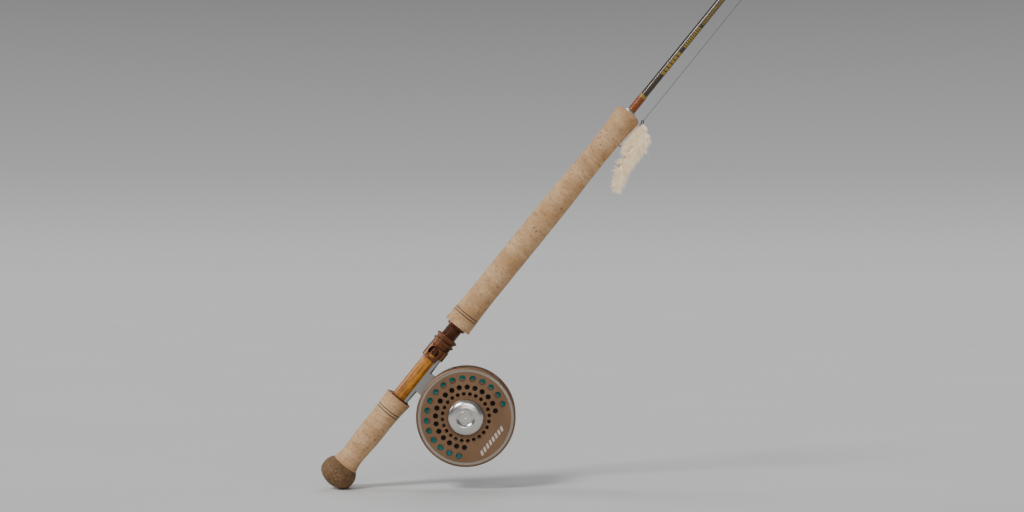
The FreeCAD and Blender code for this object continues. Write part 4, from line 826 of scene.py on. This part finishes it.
def make_knob_mark():
    """A small plain star in the knob's middle, which lies just under its face."""
    corners = []
    for i in range(2 * STAR_POINTS):
        radius = STAR_OUTER if i % 2 == 0 else STAR_INNER
        angle = math.pi * i / STAR_POINTS
        corners.append((radius * math.cos(angle), radius * math.sin(angle)))
    points, faces = slab(corners, KNOB_FACE - 0.1, KNOB_FACE + 0.22)
    world = [REEL @ (p * MM) for p in points]
    piece = new_mesh("knob_mark", world, faces, KNOB_METAL, "drag_knob", 30)


def make_blank_mark():
    """A plain gold band of slanted dashes along the blank in place of lettering."""
    parts = []
    for start, end, length, gap, half_turn in DASH_ROWS:
        place = start
        while place + length <= end:
            parts.append(blank_patch(place, place + length, DASH_FACING, half_turn, DASH_SLANT))
            place += length + gap
    points, faces = joined(parts)
    piece = new_mesh("blank_mark", points, faces, GOLD_INK, "root", 80)


def blank_patch(low, high, facing, half_turn, slant):
    """A thin slanted patch that follows the blank's round surface."""
    rows, columns = 4, 5
    underside, top = 0.012, 0.03
    points = []
    for layer in (underside, top):
        for i in range(rows):
            for j in range(columns):
                turn = facing + half_turn * (2 * j / (columns - 1) - 1)
                along = low + (high - low) * i / (rows - 1) + slant * (j / (columns - 1) - 0.5)
                radius = taper(along) + layer
                place = Vector((radius * math.cos(turn), radius * math.sin(turn), along))
                points.append(ROD @ (place * MM))
    size = rows * columns
    faces = []
    for i in range(rows - 1):
        for j in range(columns - 1):
            a = i * columns + j
            faces.append((size + a, size + a + 1, size + a + columns + 1, size + a + columns))
            faces.append((a + columns, a + columns + 1, a + 1, a))
    edge = list(range(columns)) + [i * columns + columns - 1 for i in range(1, rows)]
    edge += [(rows - 1) * columns + j for j in range(columns - 2, -1, -1)]
    edge += [i * columns for i in range(rows - 2, 0, -1)]
    for here, there in zip(edge, edge[1:] + edge[:1]):
        faces.append((here, there, size + there, size + here))
    return points, faces


# ---------------------------------------------------------------- fly and leader

# The leader beside the rod, millimetres: its distance from the rod's axis, the hook's eye that it
# leaves, and the knot that it ends in.
LEADER_ACROSS = 15.6
EYE_AT, EYE_REACH = 478.0, 1.7
KNOT_LOW, KNOT_HIGH, KNOT_TURNS = 744.8, 748.8, 6
LEADER_RADIUS = 0.25


def make_leader():
    """The taut leader, from the fly's eye to its knot on the stripping guide."""
    low, high = EYE_AT + EYE_REACH, KNOT_LOW
    curve = bpy.data.curves.new("leader_line", "CURVE")
    curve.dimensions = "3D"
    curve.bevel_depth = LEADER_RADIUS * MM
    curve.bevel_resolution = 3
    stops = [low, low + 90, high - 90, high]
    spline = curve.splines.new("NURBS")
    spline.points.add(len(stops) - 1)
    for point, along in zip(spline.points, stops):
        point.co = (*(ROD @ (Vector((LEADER_ACROSS, 0, along)) * MM)), 1)
    spline.order_u = 3
    spline.use_endpoint_u = True
    curve.materials.append(MONO)
    line = bpy.data.objects.new("leader_line", curve)
    bpy.context.scene.collection.objects.link(line)
    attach(line, "root")
    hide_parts("leader")
    knot = make_leader_knot()


def make_leader_knot():
    """A barrel of tight turns below the stripping guide's ring."""
    per_turn, inset, strand = 14, 0.3, 0.27
    count = KNOT_TURNS * per_turn
    path = []
    for i in range(count + 1):
        angle = 2 * math.pi * i / per_turn
        height = KNOT_LOW + inset + (KNOT_HIGH - KNOT_LOW - 2 * inset) * i / count
        swell = 0.55 + 0.12 * math.sin(math.pi * i / count)
        out, aside = LEADER_ACROSS + swell * math.cos(angle), swell * math.sin(angle)
        path.append(ROD @ (Vector((out, aside, height)) * MM))
    points, faces = tube_along(path, [strand * MM] * len(path), sides=8)
    knot = new_mesh("leader_turns", points, faces, MONO, "root", 60)
    stand_for("leader_knot")
    return knot


# The strip's middle line from the fly's head to its tail: across and along the rod in
# millimetres, and half its width.
FUR_LINE = [
    (18.4, 474.5, 2.4),
    (22.0, 469, 5.4),
    (25.2, 464, 7.8),
    (27.4, 456, 8.6),
    (27.6, 445, 7.9),
    (28.8, 429, 6.6),
    (33.6, 417, 4.8),
    (39.2, 408, 1.8),
]
# The part of the hook's shank that carries fur, and how many tufts of how many hairs there are.
SHANK_LOW, SHANK_HIGH = 451.0, 473.0
STRIP_TUFTS, STRIP_HAIRS = 680, 14
SHANK_TUFTS, SHANK_HAIRS = 110, 12


def strip_line(count):
    """Points of the strip's middle line, each with the way to the tail, the way out and half the
    strip's width."""
    knots = [Vector((a, 0, w)) for a, w, _ in FUR_LINE]
    spans = [(q - p).length for p, q in zip(knots, knots[1:])]
    runs = np.concatenate([[0.0], np.cumsum(spans)])
    columns = [k.x for k in knots], [k.z for k in knots], [half for _, _, half in FUR_LINE]
    across, along, halves = (
        [value for value, _ in smooth_curve(list(zip(runs, column)), runs[-1] / count)]
        for column in columns
    )
    points = [Vector((x, 0, z)) for x, z in zip(across, along)]
    line = []
    for i, point in enumerate(points):
        ahead = (points[min(i + 1, len(points) - 1)] - points[max(i - 1, 0)]).normalized()
        line.append((point, ahead, Vector((-ahead.z, 0, ahead.x)), halves[i]))
    return line


def strip_core(line):
    """The dense under-fur: a flattened tube along the strip."""
    sides, points = 20, []
    for point, _, out, half in line:
        for side in range(sides):
            angle = 2 * math.pi * side / sides
            seed = Vector((point.z * 0.8, 3 * math.cos(angle), 3 * math.sin(angle)))
            fluff = 1 + 0.16 * noise.noise(seed)
            ring = out * math.cos(angle) * half * 0.42 + Vector((0, math.sin(angle) * half * 0.34, 0))
            points.append(ROD @ ((point + ring * fluff) * MM))
    return points, tube_faces(len(line), sides)


def make_fur():
    """The fly's strip of rabbit fur: a narrow hide, dense under-fur and thousands of fine hairs."""
    chooser = random.Random(11)
    line = strip_line(70)
    hide_span, hide_inset, hide_radius = slice(14, 62), 0.55, 0.5
    edge = [p - out * half * hide_inset for p, _, out, half in line[hide_span]]
    hide_path = [ROD @ (p * MM) for p in edge]
    hide_points, hide_faces = tube_along(hide_path, [hide_radius * MM] * len(edge), 8)
    hide = new_mesh("fly_hide", hide_points, hide_faces, HIDE, "root", 60)
    parts = [strip_core(line)]
    for _ in range(STRIP_TUFTS):
        parts += strip_tuft(chooser, line)
    for _ in range(SHANK_TUFTS):
        parts += shank_tuft(chooser)
    points, faces = joined(parts)
    fur = new_mesh("fly_hairs", points, faces, FUR, "root", 70)
    stand_for("fly_fur")


def scatter(chooser, spread):
    """A small random vector."""
    return Vector((chooser.gauss(0, spread), chooser.gauss(0, spread), chooser.gauss(0, spread)))


def tuft(chooser, start, first, last, length, spread, count):
    """Tapered hairs that leave along first, turn towards last and draw together at their tips."""
    steps, gathered, root_radius, tip_radius = 5, 0.85, 0.13, 0.02
    hairs = []
    for _ in range(count):
        aside = scatter(chooser, spread)
        stray = scatter(chooser, 0.09)
        reach = length * chooser.uniform(0.7, 1.1)
        place, path, radii = start + aside, [], []
        for i in range(steps):
            run = i / (steps - 1)
            path.append(ROD @ ((place - aside * gathered * run) * MM))
            radii.append((root_radius * (1 - run) ** 0.7 + tip_radius) * MM)
            place = place + (first.lerp(last, run) + stray).normalized() * (reach / (steps - 1))
        hairs.append(tube_along(path, radii, 3))
    return hairs


def strip_tuft(chooser, line):
    """A tuft of the strip, out and then back towards the tail."""
    point, ahead, out, half = line[min(int(chooser.random() * len(line)), len(line) - 1)]
    turn = chooser.gauss(0.0, 1.1) if chooser.random() < 0.7 else chooser.uniform(-math.pi, math.pi)
    leave = out * math.cos(turn) + Vector((0, math.sin(turn), 0))
    loose = scatter(chooser, 0.2)
    first = (leave + ahead * 0.4 + loose).normalized()
    last = (leave * chooser.uniform(0.3, 1.0) + ahead + loose * 1.6).normalized()
    length = chooser.uniform(0.55, 1.1) * (3.4 + half * 0.95)
    return tuft(chooser, point + leave * half * 0.3, first, last, length, 0.75, STRIP_HAIRS)


def shank_tuft(chooser):
    """A tuft tied on along the hook's shank, lying back along the grip."""
    along = chooser.uniform(SHANK_LOW, SHANK_HIGH)
    turn = chooser.uniform(-1.9, 1.9)
    leave = Vector((math.cos(turn), math.sin(turn), 0))
    back = Vector((0, 0, -1))
    first = (leave * 0.6 + back * 0.8).normalized()
    last = (leave * chooser.uniform(-0.1, 0.35) + back).normalized()
    root = Vector((LEADER_ACROSS, 0, along)) + leave * 0.4
    return tuft(chooser, root, first, last, chooser.uniform(8, 16), 0.6, SHANK_HAIRS)


# ---------------------------------------------------------------- stage

FLOOR_HALF = 25.0
# The backdrop's grey at heights from the horizon, 0, to overhead, 1.
BACKDROP = [(0.0, 0.60), (0.05, 0.42), (0.2, 0.16), (0.5, 0.14), (1.0, 0.26)]
# The camera's place, and half the width that it sees in the rod's plane, in metres.
CAMERA_AT, HALF_VIEW = Vector((0.1681, -1.75, 0.2328)), 0.512


def make_stage():
    """A plain pale floor, a backdrop and soft studio light."""
    floor_data = bpy.data.meshes.new("floor")
    corners = [(x * FLOOR_HALF, y * FLOOR_HALF, 0) for x, y in ((-1, -1), (1, -1), (1, 1), (-1, 1))]
    floor_data.from_pydata(corners, [], [(0, 1, 2, 3)])
    floor = bpy.data.objects.new("floor", floor_data)
    bpy.context.scene.collection.objects.link(floor)
    paint = Finish("floor_paint", Matrix.Identity(4), Roughness=0.85)
    shade = paint.noise((3, 3, 3), 2.0)
    paint.colour(paint.ramp(shade, (0.2, (0.60, 0.595, 0.59)), (0.8, (0.63, 0.625, 0.62))))
    floor_data.materials.append(paint.material)
    make_world()
    add_sun("key", (-1.05, -1.25, 1.55), 2.1, 18)
    add_sun("side", (-1.4, 0.4, 0.8), 1.0, 24)
    add_sun("rim", (0.2, 1.2, 1.5), 0.5, 30)
    add_sun("front", (0.15, -1.5, 0.7), 0.75, 30)


def make_world():
    """A studio backdrop: pale at the floor's edge and darker upward."""
    world = bpy.data.worlds.new("studio")
    world.use_nodes = True
    tree = world.node_tree
    way = tree.nodes.new("ShaderNodeTexCoord")
    height = tree.nodes.new("ShaderNodeSeparateXYZ")
    ramp = tree.nodes.new("ShaderNodeValToRGB")
    tree.links.new(way.outputs["Generated"], height.inputs["Vector"])
    tree.links.new(height.outputs["Z"], ramp.inputs["Fac"])
    stops = ramp.color_ramp.elements
    while len(stops) < len(BACKDROP):
        stops.new(0.5)
    for stop, (place, grey) in zip(stops, BACKDROP):
        stop.position = place
        stop.color = (grey, grey, grey * 1.02, 1)
    tree.links.new(ramp.outputs["Color"], tree.nodes["Background"].inputs["Color"])
    bpy.context.scene.world = world


def add_sun(name, place, strength, spread):
    """Even light over the whole floor, from the way of place, with soft shadows."""
    data = bpy.data.lights.new(name, "SUN")
    data.energy = strength
    data.angle = math.radians(spread)
    lamp = bpy.data.objects.new(name, data)
    lamp.location = place
    lamp.rotation_euler = (-Vector(place)).to_track_quat("-Z", "Y").to_euler()
    bpy.context.scene.collection.objects.link(lamp)


def make_camera():
    """Level with the fore grip's lower part, square on to the rod's plane."""
    data = bpy.data.cameras.new("camera")
    data.sensor_width = 36.0
    data.angle = 2 * math.atan(HALF_VIEW / -CAMERA_AT.y)
    data.clip_end = 150
    camera = bpy.data.objects.new("camera", data)
    camera.location = CAMERA_AT
    camera.rotation_euler = (math.radians(90), 0, 0)
    bpy.context.scene.collection.objects.link(camera)
    bpy.context.scene.camera = camera


make_stage()
make_camera()
make_leader()
dress_nodes()
for piece_number in range(PIECES):
    make_blank(piece_number)
    make_wraps(piece_number)
    if piece_number in SNAKE_GUIDES:
        make_guides(piece_number)
make_grips()
make_barrel()
make_windings()
make_plate_mark()
make_knob_mark()
make_blank_mark()
make_fur()
